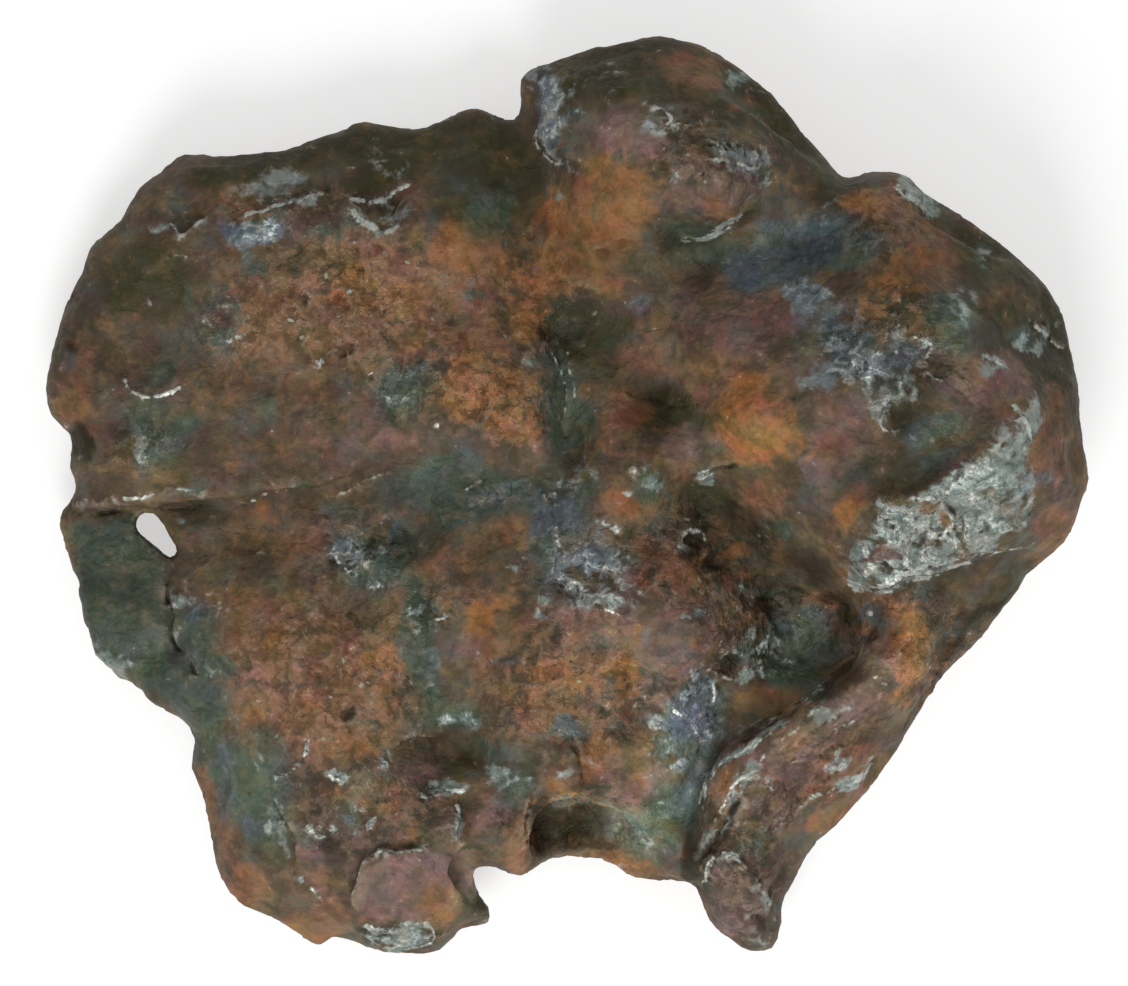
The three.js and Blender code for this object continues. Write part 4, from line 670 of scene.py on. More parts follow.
        [-78.5, 37, 3, 2, 0, 0.6], [-92, 28, 4.5, 4, 0, 0.8], [-86.5, 18.5, 3, 2.5, 0, 0.7],
        [-68, 22, 3, 5, 0, 0.6], [-26.5, 72.5, 3.5, 7, 0, 0.4], [-31.5, 62.5, 2, 8, 0, 0.6],
        [-20, 65, 2.5, 2.5, 0, 0.7], [-14, 65.5, 3, 3, 0, 0.8], [-22.5, 71, 2.5, 2, 0, 0.6],
        [-5, 60, 1.5, 3.5, -30, 0.6], [-1.5, 40.5, 3, 1.5, 0, 0.6], [-39.5, 25.5, 5.5, 5, 0, 0.5],
        [-1.5, 25.5, 3, 8, 6, 1], [4.5, 15, 3, 6, 0, 0.9], [-1.5, 13, 3, 3.5, 0, 0.8],
        [26, 64.5, 4, 4.5, 0, 0.3], [31, 59, 6, 2, -10, 0.7], [28.5, 55.5, 4.5, 3, 0, 0.5],
        [36.5, 55.5, 5.5, 2.5, 20, 0.7], [54, 66, 4.5, 2, 0, 0.5], [67.5, 60, 4, 2, 0, 0.6],
        [60.5, 54, 7, 2.5, 0, 0.9], [66.5, 55.5, 4.5, 3, 0, 0.7], [17, 95.5, 4.5, 2, 0, 0.4],
        [35.5, 92, 5.5, 1.5, 10, 0.5], [41, 87, 5.5, 1, -5, 0.6], [-1.5, 96, 7, 2, 15, 0.5],
        [21.5, 87.5, 3.5, 2.5, 0, 0.5], [85, 44, 3.5, 3.5, 0, 1], [88.5, 40.5, 3.5, 5.5, 0, 1],
        [90.5, 34.5, 3, 2, 0, 0.8], [82.5, 39.5, 3.5, 2, 0, 0.7], [87, 33.5, 6, 2, -20, 0.7],
        [83.5, 16.5, 6, 3, 0, 0.8], [78, 14, 2.5, 4.5, 0, 0.7], [74.5, 26, 3, 2.5, 0, 0.9],
        [73.5, 22, 2.5, 2, 0, 0.6], [83.5, 8.5, 4.5, 1.5, 25, 0.9], [94, 54, 3, 1, -35, 0.9],
        [95, 57.5, 3, 1.5, -20, 0.7], [85, 66, 2, 1, 0, 0.3], [77, 70.5, 2, 2.5, 0, 0.6],
        [18, 3, 3, 3.5, 0, 0.9], [31.5, 4.5, 1.5, 2.5, 30, 0.8], [50.5, -8, 3.5, 2.5, 0, 0.8],
        [54, -11.5, 3.5, 2.5, 0, 0.6], [46, -8, 3, 2, 0, 0.6], [48, -23, 4, 1.5, -10, 0.9],
        [40, -21.5, 2, 2, 0, 0.7], [33, -16.5, 2, 2, 0, 0.8], [29.5, -21.5, 1.5, 1.5, 0, 0.7],
        [44.5, -35.5, 6, 3, 0, 0.9], [39, -36.5, 3, 2, 0, 0.8], [54, -33, 4.5, 3, 0, 0.8],
        [49, -40, 5.5, 3, 0, 0.9], [57.5, -44.5, 3, 2.5, 20, 0.7], [34.5, -52.5, 3, 2.5, 0, 0.5],
        [24, -55, 3.5, 4.5, 0, 0.4], [20.5, -72, 4, 5.5, 0, 0.9], [17, -79, 4, 3.5, 0, 0.8],
        [23, -81.5, 3, 4, 0, 0.9], [10, -75.5, 6, 3, 0, 0.5], [28.5, -70, 2, 7, 0, 0.7],
        [-15, -58.5, 4.5, 3, 0, 0.7], [-11.5, -66.5, 3, 3.5, 0, 0.9], [-20, -57.5, 3, 2.5, 0, 0.6],
        [-25.5, -52, 6, 2.5, 0, 1], [-30, -47, 3, 2.5, 0, 0.9], [-31.5, -36.5, 4, 5.5, 0, 0.8],
        [-33.5, -42.5, 4, 4, 0, 0.7], [-34.5, -32, 4.5, 2, 0, 0.8], [-34.5, -25, 3.5, 3.5, 0, 0.8],
        [-34.5, -19.5, 2.5, 3, 0, 0.9], [-44, -19.5, 7, 1.5, 5, 0.9], [-48.5, -11.5, 3.5, 3, 0, 0.8],
        [-41.5, -17, 3, 2.5, 0, 0.7], [-38, -11.5, 3, 4.5, 0, 0.8], [-25.5, -5.5, 6.5, 3, 10, 0.9],
        [-33.5, -10, 3.5, 3, 0, 0.7], [-20, -2, 5.5, 3, 0, 0.8], [-5, -12.5, 3.5, 3, 0, 0.7],
        [-3.5, -18, 3, 2.5, 0, 0.5], [2, -1, 2.5, 3, 0, 0.5], [5.5, 1.5, 3, 3, 0, 0.7],
        [-26.5, 7, 8, 3, 5, 0.9], [-51, -3, 5.5, 2.5, 0, 0.6], [-61, 3, 3.5, 1.5, 10, 0.7],
        [-87, 1.5, 4, 1.5, 8, 0.7], [-93.5, 8, 5, 2, 0, 0.9], [-111.5, -10, 4, 3, 0, 0.9],
        [-106, -18, 5.5, 3, 0, 0.8], [-110.5, -13.5, 3, 4.5, 0, 0.8], [-95.5, -29.5, 5.5, 5.5, 0, 0.6],
        [-102.5, -24, 3, 3.5, 0, 0.4], [-85.5, -29.5, 5, 3.5, 0, 0.7], [-89, -36.5, 4.5, 3.5, 0, 0.7],
        [-79, -39.5, 5, 2.5, -10, 0.9], [-93.5, -42.5, 7, 2.5, -38, 0.9], [-83, -55, 4.5, 6, -20, 0.8],
        [-75, -65.5, 4.5, 8, 20, 0.8], [-70, -73.5, 3.5, 5.5, 20, 0.8], [-78.5, -18, 6, 3.5, 0, 0.5],
        [-67, -19, 3, 3, 0, 0.6], [-51, -71, 3, 3.5, 0, 0.6], [-46, -73.5, 3, 2, 0, 0.5],
        [-46, -65.5, 3, 2, 0, 0.6], [-49.5, -50.5, 1, 1, 0, 0.7], [1, -54, 3, 2.5, 0, 0.4],
        [-1.5, -55.5, 5.5, 1, 8, 0.6], [104, 35.5, 2.5, 2, -30, 1], [106.5, -11.5, 3, 4, 0, 0.7],
        [102, -17, 3, 2.5, 0, 0.6], [86, -33, 1.5, 3, 20, 0.5], [93, -29.5, 3.5, 1.5, 42, 0.8],
        [96.5, -33, 2.5, 1, 45, 0.6], [67.5, -36.5, 3, 1.5, 30, 0.4], [83.5, -44.5, 3, 1, 45, 0.5],
        [39, -80.5, 2.5, 2, 0, 0.5], [28.5, -86, 1.5, 3.5, 0, 0.6], [42.5, -79, 2.5, 2, 0, 0.3],
        [-59, -78, 2.5, 3.5, 0, 0.5], [37.5, 80.5, 6, 2, -8, 0.5],
    ],
    "ruddy": [
        [21.5, -17.5, 8, 6, 0, 0.7], [17, -11.5, 4.5, 3, 0, 0.5], [36, -67, 2, 5, -25, 0.8],
        [58, -67, 6, 1.5, 35, 0.7], [43.5, -46.5, 5, 2, 10, 0.6], [67, -30.5, 1.5, 2.5, 0, 0.9],
        [17, 15, 9, 9, 0, 0.35], [31, 38, 6, 4.5, 0, 0.4], [-61, -25, 14, 3.5, 0, 0.35],
        [28.5, -37.5, 7, 3.5, 0, 0.4], [72, -26, 3, 2.5, 0, 0.4], [12.5, -47, 6, 3, 0, 0.3],
        [47, 6, 3.5, 6, 0, 0.35], [100, 26.5, 4.5, 2, -30, 0.4], [28.5, 100, 5, 3, 0, 0.5],
        [54, -14.5, 3.5, 4.5, 0, 0.4], [-49.5, -24, 4.5, 3, 0, 0.3],
    ],
    "slate": [
        [50.5, -30.5, 6, 2, -20, 0.5], [52.5, -39.5, 5, 2, 0, 0.4], [33, -59.5, 4, 3, -30, 0.6],
        [52.5, 56.5, 14.5, 8, 22, 1], [17, 43, 5.5, 3, 20, 0.4], [29, -48, 5.5, 4.5, 20, 0.8],
        [24.5, -56.5, 3.5, 4, 0, 0.7], [31.5, -63, 3, 5.5, 0, 0.8], [24.5, -70, 4, 4.5, 0, 0.7],
        [3, -14.5, 8.5, 11.5, 0, 0.5], [-2.5, 89, 5, 9.5, 0, 0.5], [31, -47, 8, 7, 0, 0.7],
        [-70.5, 60.5, 7, 2.5, 0, 0.9], [60.5, 36, 11.5, 11.5, 0, 0.6], [32, -55, 4, 4.5, 0, 0.7],
        [-3.5, -8, 7, 7, 0, 0.5], [19.5, -56, 3, 7, 0, 0.3], [90.5, 17.5, 11.5, 4.5, 25, 0.4],
        [72, -33, 2.5, 4.5, 0, 0.2], [34.5, -67.5, 4.5, 10, 30, 0.3], [-10.5, -1, 11.5, 4, 0, 0.5],
        [-49.5, -11.5, 4.5, 3.5, 0, 0.5], [41, 47.5, 4.5, 3, 0, 0.6], [70, 59, 4.5, 3.5, 0, 0.5],
        [-5, 92, 3, 5, 0, 0.7], [-3.5, 84, 3, 4.5, 0, 0.8], [3, 86.5, 3, 2, 0, 0.7],
        [17, 44.5, 2.5, 1, 15, 0.5], [54, 59, 9, 3.5, 15, 0.9], [47, 53, 8, 3.5, 25, 0.9],
        [62, 57.5, 4.5, 3, 0, 0.5], [60.5, 36, 2.5, 6, 0, 0.9], [67.5, 34.5, 5.5, 3, 0, 0.7],
        [65.5, 30, 4.5, 3, 0, 0.7], [39, 52.5, 3, 2, 30, 0.8], [70, 28.5, 3.5, 2.5, 0, 0.5],
        [51.5, -10, 2.5, 2, 0, 0.7], [-5, -5.5, 3.5, 4, 0, 0.9], [-1.5, -1, 3, 3.5, 0, 0.6],
        [-10.5, 1, 5, 3, 0, 0.8], [-40.5, -9, 1.5, 2, 0, 0.9], [4.5, -14.5, 3, 3.5, 0, 0.7],
        [-84, -27.5, 3.5, 2, 0, 0.7], [-87.5, -32, 3, 2, 0, 0.5], [-84, -37.5, 4, 2.5, -20, 0.4],
        [-78.5, -62, 3, 5, 10, 0.7], [-72.5, -77, 3, 3, 0, 0.6], [-75, -70, 2, 3, 0, 0.6],
        [-14, -37.5, 3.5, 2, 20, 0.6], [-30, -39.5, 3, 4.5, 0, 0.5], [2, -53.5, 2.5, 2, 0, 0.7],
        [32, -60.5, 3, 3, 0, 0.7], [25, -56, 4, 5.5, 0, 0.7], [31, -44.5, 3.5, 3, 20, 0.8],
        [28.5, -66.5, 2, 5.5, 0, 0.5], [65.5, -33, 3.5, 2.5, 0, 0.6], [70, -27.5, 4.5, 3, 0, 0.6],
        [54, -27.5, 3.5, 2.5, 0, 0.5], [109, 3.5, 2, 2, 0, 0.6], [105.5, 3.5, 2, 2.5, 0, 0.3],
        [19, -33, 2, 2.5, 0, 0.6], [8, -33, 2.5, 2, 0, 0.5], [-51, -72.5, 2.5, 1, 0, 0.7],
        [-61, 72.5, 2.5, 1.5, 0, 0.4], [-6, -69, 2, 2.5, 0, 0.4], [-20, 0, 5.5, 2, 0, 0.5],
        [-114, 31.5, 2.5, 3.5, 0, 0.6], [72, 20, 2.5, 3.5, 0, 0.5], [87, 25, 3, 1, -38, 0.4],
        [-71.5, 61, 8, 3, 0, 1], [-74, 55.5, 1.5, 4.5, 0, 0.7], [56, 46, 4.5, 3, 0, 0.8],
        [41, 76, 5.5, 3, 0, 0.5], [19.5, 85.5, 3, 3.5, 0, 0.4], [78, 31.5, 6, 4.5, 0, 0.6],
        [-49.5, -14.5, 4.5, 3.5, 0, 0.5], [27, -70, 2, 5.5, 0, 0.7], [29.5, -47, 4.5, 3.5, 0, 0.6],
    ],
    "silver": [
        [96.5, 1.5, 10.5, 6, 15, 1], [-3.5, 89, 3, 9, -4, 0.4], [87, -5.5, 22, 8.5, 26, 1],
        [101, 13, 6, 11.5, -28, 0.8], [72, -14.5, 9, 5.5, 15, 1], [100, -1, 11.5, 9, 20, 0.8],
        [59.5, 38, 6, 8.5, 20, 0.4], [72, 34.5, 6, 6.5, 0, 0.35], [54, 46, 5, 3, 10, 0.8],
        [56.5, 26.5, 4, 3, 0, 0.5], [66.5, 28, 6.5, 4.5, 0, 0.45], [-3, 89, 3, 9, -14, 0.6],
        [5.5, 95.5, 9, 2, 14, 0.4], [-1.5, 97, 3.5, 1, 15, 0.5], [4.5, 98.5, 3, 1, 0, 0.4],
        [13.5, 94.5, 3, 1, 20, 0.4], [-1.5, 85.5, 3.5, 3, 0, 0.45], [20.5, 86, 4, 4.5, 0, 0.5],
        [27.5, 83.5, 5, 1.5, 0, 0.5], [39, 76, 7.5, 3, -12, 0.45], [39, 94.5, 4, 3.5, -30, 0.6],
        [-64.5, 71.5, 8, 3.5, 0, 0.85], [-71.5, 60.5, 7, 3, 0, 0.8], [-74, 54.5, 1, 4, 0, 0.7],
        [-44, 66, 8, 3.5, 0, 0.5], [-41.5, 76, 7, 3, -20, 0.5], [5.5, -18, 8, 7, 0, 0.6],
        [-1.5, -13.5, 4.5, 3.5, 0, 0.35], [-77, 43.5, 1.5, 1, 0, 0.6], [-81.5, 40, 2, 0.5, 0, 0.6],
        [-76.5, 35.5, 3, 0.5, 10, 0.6], [-78, 38, 1, 1.5, 0, 0.5], [-86.5, 39.5, 1.5, 0.5, 0, 0.5],
        [-47.5, -14.5, 5.5, 5.5, 0, 0.5], [-38, 24, 4, 3, 0, 0.5], [-96, 11, 3, 2, 30, 0.4],
        [-103.5, -39, 4, 3.5, 0, 0.8], [-108.5, -33, 2.5, 2.5, 0, 0.7], [-89, -25, 4.5, 3, 0, 0.6],
        [28.5, -44.5, 4, 2.5, 20, 0.4], [42.5, -41.5, 3, 2, 0, 0.8], [59, -50.5, 2.5, 1.5, 0, 0.8],
        [63, -62, 3.5, 2, 30, 0.9], [66, -65.5, 3, 1.5, 30, 0.9], [60.5, -47.5, 7, 1.5, 30, 0.35],
        [44.5, -52, 9, 2, 15, 0.7], [82.5, 66, 3, 5, 35, 0.9], [78, 70.5, 3, 3.5, 20, 0.6],
        [109, 37, 2, 5.5, -32, 0.8], [89.5, 45, 3, 4.5, 0, 0.5], [96.5, 30, 4, 1.5, -25, 0.6],
        [85, 13, 11.5, 3, 28, 0.5], [-38, -101, 8, 3.5, 0, 0.9], [-53, -64, 3, 1, 0, 0.8],
        [-46, -72, 3.5, 3, 0, 0.4], [-55.5, -75.5, 3, 2, 0, 0.5], [-65.5, -75.5, 2.5, 7, 0, 0.6],
        [-15, -64, 3, 2, 0, 0.8], [-28, -68, 5.5, 1, 8, 0.8], [-25, -74.5, 1, 5.5, 0, 0.8],
        [-33.5, -24, 7, 2, 0, 0.4], [-26.5, -52.5, 6, 3, 0, 0.4], [31, -52.5, 4.5, 3, 0, 0.35],
        [26, -62, 3, 1.5, 0, 0.6], [66.5, 56.5, 3, 2.5, 0, 0.3], [31, 3.5, 2.5, 3, 0, 0.6],
        [19.5, 3.5, 3, 3, 0, 0.6], [3, 3.5, 4.5, 3, 0, 0.5], [-15, -1, 7, 2.5, 0, 0.3],
        [-91, 61, 6, 2, 0, 0.6], [-113, 77.5, 1.5, 1.5, 0, 0.1], [44.5, -33, 4.5, 3, 0, 0.5],
        [2, 45, 2.5, 2, 0, 0.2], [39, -94, 6, 9, -20, 0.2], [12.5, -24, 7, 2.5, 0, 0.4],
        [20.5, -51.5, 3, 3.5, 0, 0.6], [-6, 93.5, 3.5, 3, 0, 0.5], [74.5, 24.5, 7, 4.5, 0, 0.5],
        [78, 43, 3.5, 2.5, 0, 0.4], [-54.5, -19.5, 3, 2, 0, 0.4], [-86.5, -19.5, 2.5, 2, 0, 0.4],
        [115, 40.5, 1.5, 2.5, -20, 0.6], [70, 20, 3.5, 3, 0, 0.5], [-71.5, 70.5, 6, 3, 0, 0.5],
        [-61, 70.5, 7, 2, 10, 0.7], [-80.5, -27.5, 6, 2.5, 0, 0.4], [17, -44.5, 1.5, 6, 0, 0.3],
        [-4.5, 85.5, 2, 5, -4, 0.7], [-4, 93, 2, 3.5, 10, 0.7], [0, 87, 1.5, 1, 0, 0.8],
        [3.5, 86.5, 2, 1, 0, 0.7], [-1.5, 77.5, 6, 1, -28, 0.9], [20.5, 84.5, 2, 2, 0, 0.6],
        [39, 96, 3, 2, -25, 0.9], [44.5, 91.5, 2, 1, -20, 0.6], [40, 78, 6, 1.5, -8, 0.7],
        [44, 77.5, 2, 3, 0, 0.5], [45.5, 73, 1.5, 1, 0, 1], [44, 71.5, 1.5, 1, 20, 0.7],
        [25, 72.5, 1.5, 1, -10, 0.9], [46, 75, 1, 0.5, 0, 0.8], [57.5, 63.5, 3, 2, 0, 0.6],
        [60, 67.5, 2, 1, 0, 0.7], [76, 72, 2, 1.5, 0, 0.7], [79, 67.5, 2, 2, -50, 0.9],
        [82.5, 64.5, 3, 1, -40, 1], [83.5, 59.5, 1, 0.5, 0, 0.7], [89.5, 60.5, 2.5, 0.5, -5, 0.7],
        [95, 56.5, 3, 1, -30, 0.6], [95, 54, 2, 1, -38, 0.8], [57, 46, 3.5, 2.5, 10, 0.9],
        [51.5, 46, 1.5, 2, 0, 0.7], [61, 46, 1.5, 1.5, 0, 0.4], [60.5, 34.5, 2, 3, 0, 0.6],
        [64, 32.5, 3, 3, 0, 0.6], [69, 30, 3, 3, 0, 0.6], [75, 37.5, 2, 2, 0, 0.7],
        [81, 34.5, 1, 2.5, -35, 1], [82, 28.5, 1.5, 2, -35, 0.9], [83.5, 26, 1, 1.5, 0, 0.8],
        [72, 27, 1.5, 3, 10, 0.7], [77.5, 27, 1, 3, -20, 0.6], [59.5, 28, 2.5, 3, 0, 0.8],
        [55, 25.5, 3, 2, 0, 0.6], [72.5, 21, 1, 2.5, 20, 0.8], [72, 16.5, 1.5, 2, 0, 0.7],
        [76, 15, 3, 0.5, 8, 0.7], [103.5, 34.5, 1.5, 2, -30, 0.8], [109, 37, 1.5, 4, -48, 0.9],
        [113.5, 40, 1, 2, 0, 0.7], [97, 30.5, 3, 1, -30, 0.9], [108, 23, 0.5, 1.5, -20, 0.7],
        [105, 17.5, 2.5, 4.5, -20, 1], [101.5, 10, 3.5, 3.5, 0, 0.6], [94, 10, 3, 1.5, 20, 0.6],
        [97, 40.5, 1, 1, 0, 0.8], [94, 1.5, 8, 4.5, 20, 1], [101, -2, 4, 3, 0, 1],
        [87, 0, 3.5, 2.5, 30, 0.7], [78, -6, 3.5, 3, 30, 1], [86, -6, 3.5, 4, 0, 1],
        [77, -11.5, 2.5, 2.5, 0, 0.8], [83.5, -14.5, 5, 3, 15, 0.9], [92, -8, 5.5, 4.5, 0, 0.8],
        [96.5, -10, 3, 3, 0, 0.6], [69, -16, 1.5, 5, 0, 1], [66.5, -20, 3.5, 1, -10, 1],
        [74.5, -19.5, 3.5, 1, 20, 1], [82.5, -18, 5, 1, 15, 1], [73.5, -3, 2, 2, 0, 0.8],
        [109, 2.5, 1.5, 3, 10, 0.7], [65, -14.5, 1, 3, 0, 0.6], [108.5, -10, 0.5, 1.5, 0, 0.5],
        [86, -6, 1.5, 2, 0, -0.9], [83, -3, 1.5, 1.5, 0, -0.8], [72.5, -14, 3.5, 3, 30, -0.9],
        [103.5, 5, 1.5, 1.5, 0, -0.7], [89, -4.5, 0.5, 3, 20, -0.6], [90, -11.5, 1, 4, 0, -0.5],
        [95, -4.5, 1, 2.5, 0, -0.4], [67.5, -8, 2.5, 1, 30, -0.5], [18.5, 7, 1, 1, 0, 1],
        [20.5, 2, 1.5, 2, -20, 0.7], [31.5, 4.5, 1, 2.5, 25, 0.8], [14.5, 0.5, 0.5, 1, 0, 1],
        [8, -6.5, 2, 0.5, -20, 0.8], [10.5, -8, 2, 1, -15, 0.7], [27, -10, 2, 1.5, 35, 0.9],
        [28.5, -26.5, 2.5, 1, 15, 1], [39.5, -22, 1.5, 2, 0, 0.6], [46.5, -23, 3, 1, -10, 0.6],
        [47.5, -33, 2.5, 1.5, -20, 0.7], [51.5, -36.5, 3.5, 1, -10, 0.5], [44.5, -37.5, 3.5, 1, -30, 0.5],
        [54, -29.5, 2.5, 1, 10, 0.4], [42.5, -26.5, 3, 1, -20, 0.4], [41.5, -42.5, 2, 2, 0, 1],
        [30.5, -43, 2.5, 2.5, 0, 0.6], [33.5, -44, 1, 3, -10, 0.9], [3, -15, 3, 2.5, 0, 0.8],
        [2, -20.5, 2, 3.5, 30, 0.9], [0.5, -18.5, 2.5, 0.5, -25, 1], [2.5, -24, 0.5, 1.5, 0, 1],
        [6.5, -24, 1, 1, 30, 1], [10, -25, 2, 1, -15, 0.8], [-3, -24.5, 2, 1.5, 0, 0.7],
        [-4, -28, 1, 0.5, -30, 0.9], [5, 6.5, 3, 2, 0, 0.7], [-2, 4.5, 2, 1, 25, 0.8],
        [-6, 2, 1, 2, 20, 0.7], [-3.5, -1, 1.5, 1.5, 0, -0.8], [-1.5, -1.5, 0.5, 2, -20, 0.6],
        [12, -12, 0.5, 2, -30, 0.5], [-44, -12.5, 2.5, 1.5, 0, 0.8], [-48.5, -16, 3, 1.5, 15, 0.9],
        [-52.5, -14.5, 1.5, 3, 0, 0.6], [-51, -10.5, 2, 1.5, 40, 0.6], [-41.5, -6.5, 1, 1, 0, 0.7],
        [-43.5, -21, 3, 1, 5, 0.9], [-35, -24.5, 2, 2, 0, 0.5], [-27, -28, 1.5, 0.5, 25, 1],
        [-31, -30, 3, 0.5, 25, 0.6], [-34, -28, 1, 1, 0, 0.9], [-30, -20.5, 2, 1, 20, 0.7],
        [-26, -8.5, 2, 0.5, -5, 0.7], [-18, -15.5, 1, 0.5, 0, 1], [-11.5, -15.5, 3, 1, 0, 0.6],
        [-17, -38, 1, 1, 0, 0.7], [-31.5, -45.5, 2.5, 1, 10, 0.8], [-25, -52, 5, 2, -5, 0.8],
        [-21, -54.5, 2, 1.5, 0, 0.6], [-40, -40.5, 1, 0.5, 0, 0.9], [-48, -41, 1.5, 1, 0, 0.7],
        [-53, -40, 1.5, 0.5, 0, 0.6], [-97.5, 10, 1.5, 2.5, 15, 0.9], [-95, 12, 1, 0.5, 0, 1],
        [-95, 3, 2.5, 0.5, 5, 0.4], [-87, 2, 2, 0.5, 0, 0.8], [-112, 8, 1.5, 1, 0, 0.7],
        [-90.5, -24.5, 1, 1, 0, 1], [-87, -24.5, 2, 1, 0, 1], [-79.5, -26, 1, 1, 0, 0.7],
        [-82.5, -31.5, 1, 0.5, 0, 0.8], [-104, -38, 2, 2, -30, 1], [-108, -31.5, 1, 0.5, 0, 0.7],
        [-101, -37.5, 1, 1, 20, 0.8], [-104.5, -24, 0.5, 2, -30, 0.5], [-90.5, -34.5, 1, 3, -20, 0.6],
        [-82, -48, 0.5, 2.5, -5, 0.6], [-88, -6, 1, 1, 0, 0.6], [-82, -40, 6, 1.5, -20, 0.5],
        [-69, -77, 1.5, 1, -20, 0.8], [-65.5, -79, 1.5, 3.5, 0, 0.9], [-70, -60.5, 1, 3, -20, 0.6],
        [-54.5, -75, 1, 1, 0, 0.8], [-53, -76.5, 1, 1, 0, 0.8], [-52.5, -64.5, 2.5, 1, -20, 1],
        [-59.5, -57, 0.5, 2, 0, 1], [-61.5, -61, 1, 1, 30, 0.8], [-65.5, -63, 2, 0.5, 10, 0.7],
        [-40, -60.5, 2, 2.5, 0, 0.7], [-35.5, -57, 1, 0.5, 20, 0.9], [-44.5, -74.5, 1, 1.5, -20, 0.8],
        [-45, -66, 1, 1, 0, 0.8], [-49, -70, 1, 2, 0, 0.5], [-37.5, -80.5, 5, 0.5, 5, 0.9],
        [-31.5, -80, 2, 0.5, 0, 0.7], [-31.5, -69, 1, 1.5, -30, 0.9], [-27.5, -68, 3.5, 0.5, 12, 1],
        [-24.5, -74, 1, 4.5, -5, 0.9], [-33.5, -100.5, 3, 2.5, 0, 0.8], [-41, -99.5, 3.5, 1, -5, 0.8],
        [-40, -102.5, 4.5, 1.5, 0, 0.7], [-57.5, -77, 2, 0.5, -40, 0.6], [-61, -88, 1, 1, 0, 0.9],
        [-49, -90, 0.5, 0.5, 0, 0.8], [-49.5, -88.5, 0.5, 0.5, 0, 0.8], [-56.5, -91.5, 3, 0.5, -45, 0.4],
        [-16, -63.5, 2, 1, -30, 1], [-13.5, -65, 2, 0.5, 0, 1], [-9, -66.5, 0.5, 3, 0, 0.6],
        [0, -62.5, 2, 1.5, 0, 0.7], [-11.5, -63.5, 2, 2, 0, 0.5], [26.5, -61, 2.5, 1.5, -5, 1],
        [23, -66.5, 1, 1, 0, 0.8], [20.5, -69, 1.5, 1.5, 0, 0.6], [19.5, -55.5, 1, 1, 25, 1],
        [26, -50.5, 2, 0.5, -35, 1], [31.5, -54, 1, 0.5, 0, 0.9], [31, -44.5, 4, 2, 25, 0.5],
        [24, -55, 2, 2.5, 0, 0.3], [27.5, -70, 1, 5.5, 5, 0.5], [59.5, -51.5, 2.5, 1.5, 30, 1],
        [64, -48.5, 2.5, 1, 20, 0.6], [74.5, -48, 0.5, 1, 0, 1], [62.5, -62.5, 2, 1, 35, 0.8],
        [66.5, -65, 2.5, 1, 38, 1], [69.5, -60, 2, 0.5, 38, 0.6], [58.5, -46, 5.5, 1, 35, 0.4],
        [44.5, -63, 2.5, 3, 30, 0.4], [48.5, -53, 2.5, 1.5, 20, 0.9], [42, -57, 5, 1, 38, 0.9],
        [37.5, -60.5, 2.5, 1, 40, 0.9], [33.5, -64, 1, 3, -35, 0.6], [42, -64.5, 2, 4, -30, 0.75],
        [39, -69, 1, 3, -30, 0.8], [37, -72, 1, 3, -40, 0.9], [33.5, -76.5, 1, 3.5, -42, 0.9],
        [30, -81, 1, 2, -30, 0.8], [43, -89, 1, 2.5, -40, 0.7], [46, -94, 1, 3, 0, 0.6],
        [32, -85, 0.5, 3, -20, 0.7], [36.5, -82, 3, 0.5, 15, 0.6], [64, -57.5, 6, 1, 35, 0.4],
        [55, -70, 3.5, 1, 25, 0.4], [39.5, -75, 1, 1, 0, 0.4], [18, -78, 2, 2, 0, 0.5],
        [20.5, -83.5, 1, 1, 0, 0.6], [43.5, -101.5, 3, 2, 0, 0.5], [46, -92, 2, 2, -40, 0.6],
        [6.5, 42, 1, 0.5, 10, 1], [-23.5, 29, 1.5, 0.5, 0, 0.8], [-8.5, 32, 3, 1.5, 0, 0.4],
        [-41.5, 61, 1.5, 1, 0, 0.8], [-38.5, 63, 1.5, 1, 0, 0.7], [-1.5, 68, 1, 1, 0, 1],
        [1, 53, 0.5, 1.5, 0, 0.7], [30, 55, 1.5, 1.5, -30, 0.7], [37, 54, 2.5, 0.5, 10, 0.7],
        [40, 56, 2.5, 1, 35, 0.5], [19.5, 67, 1, 0.5, 0, 0.5], [17, 90, 1, 0.5, -30, 0.5],
        [-94.5, 46.5, 1, 0.5, 0, 0.6], [-65.5, 60.5, 1.5, 1, 0, 0.7], [-70, 35.5, 1, 0.5, 0, 0.6],
        [-76, 35.5, 3, 0.5, 12, 0.8], [-63.5, 72, 3, 1.5, 0, 0.7], [-68, 70.5, 2, 1.5, 0, 0.6],
        [-58.5, 68.5, 3, 0.5, 0, 1], [-57, 43, 0.5, 1.5, 0, 0.6], [-62.5, 33.5, 1, 1, 0, 0.5],
        [-107, 21, 1, 0.5, 40, 0.7], [1, 93, 3, 3, 0, 0.4], [17, -21.5, 2.5, 1, 0, 0.5],
        [13.5, -24.5, 2.5, 1, -10, 0.5], [75.5, -25, 13, 3, 8, -1], [62, -14.5, 2.5, 8, 0, -0.9],
        [96.5, -18, 11.5, 3, 32, -1], [85.5, 7, 14, 3.5, 38, -1], [96, 15, 8.5, 4, 45, -1],
        [112, 17.5, 3, 18.5, 6, -1], [74.5, -17.5, 10, 2, 8, 1], [-41, 63, 3.5, 3, 0, 0.8],
        [-61, 67.5, 6.5, 1, 10, 0.7], [35.5, -44, 8, 1.5, 8, 0.5], [83.5, 68, 3, 2.5, -40, 0.7],
        [65.5, -5.5, 3.5, 4.5, 40, -0.9], [70, -24, 9, 2.5, 0, -1], [109.5, 8, 3.5, 21, 0, -1],
        [104.5, 25.5, 6, 3, 0, -1], [94, 13, 10, 3, 30, 0.3], [78, 6, 9, 3, 28, -0.8],
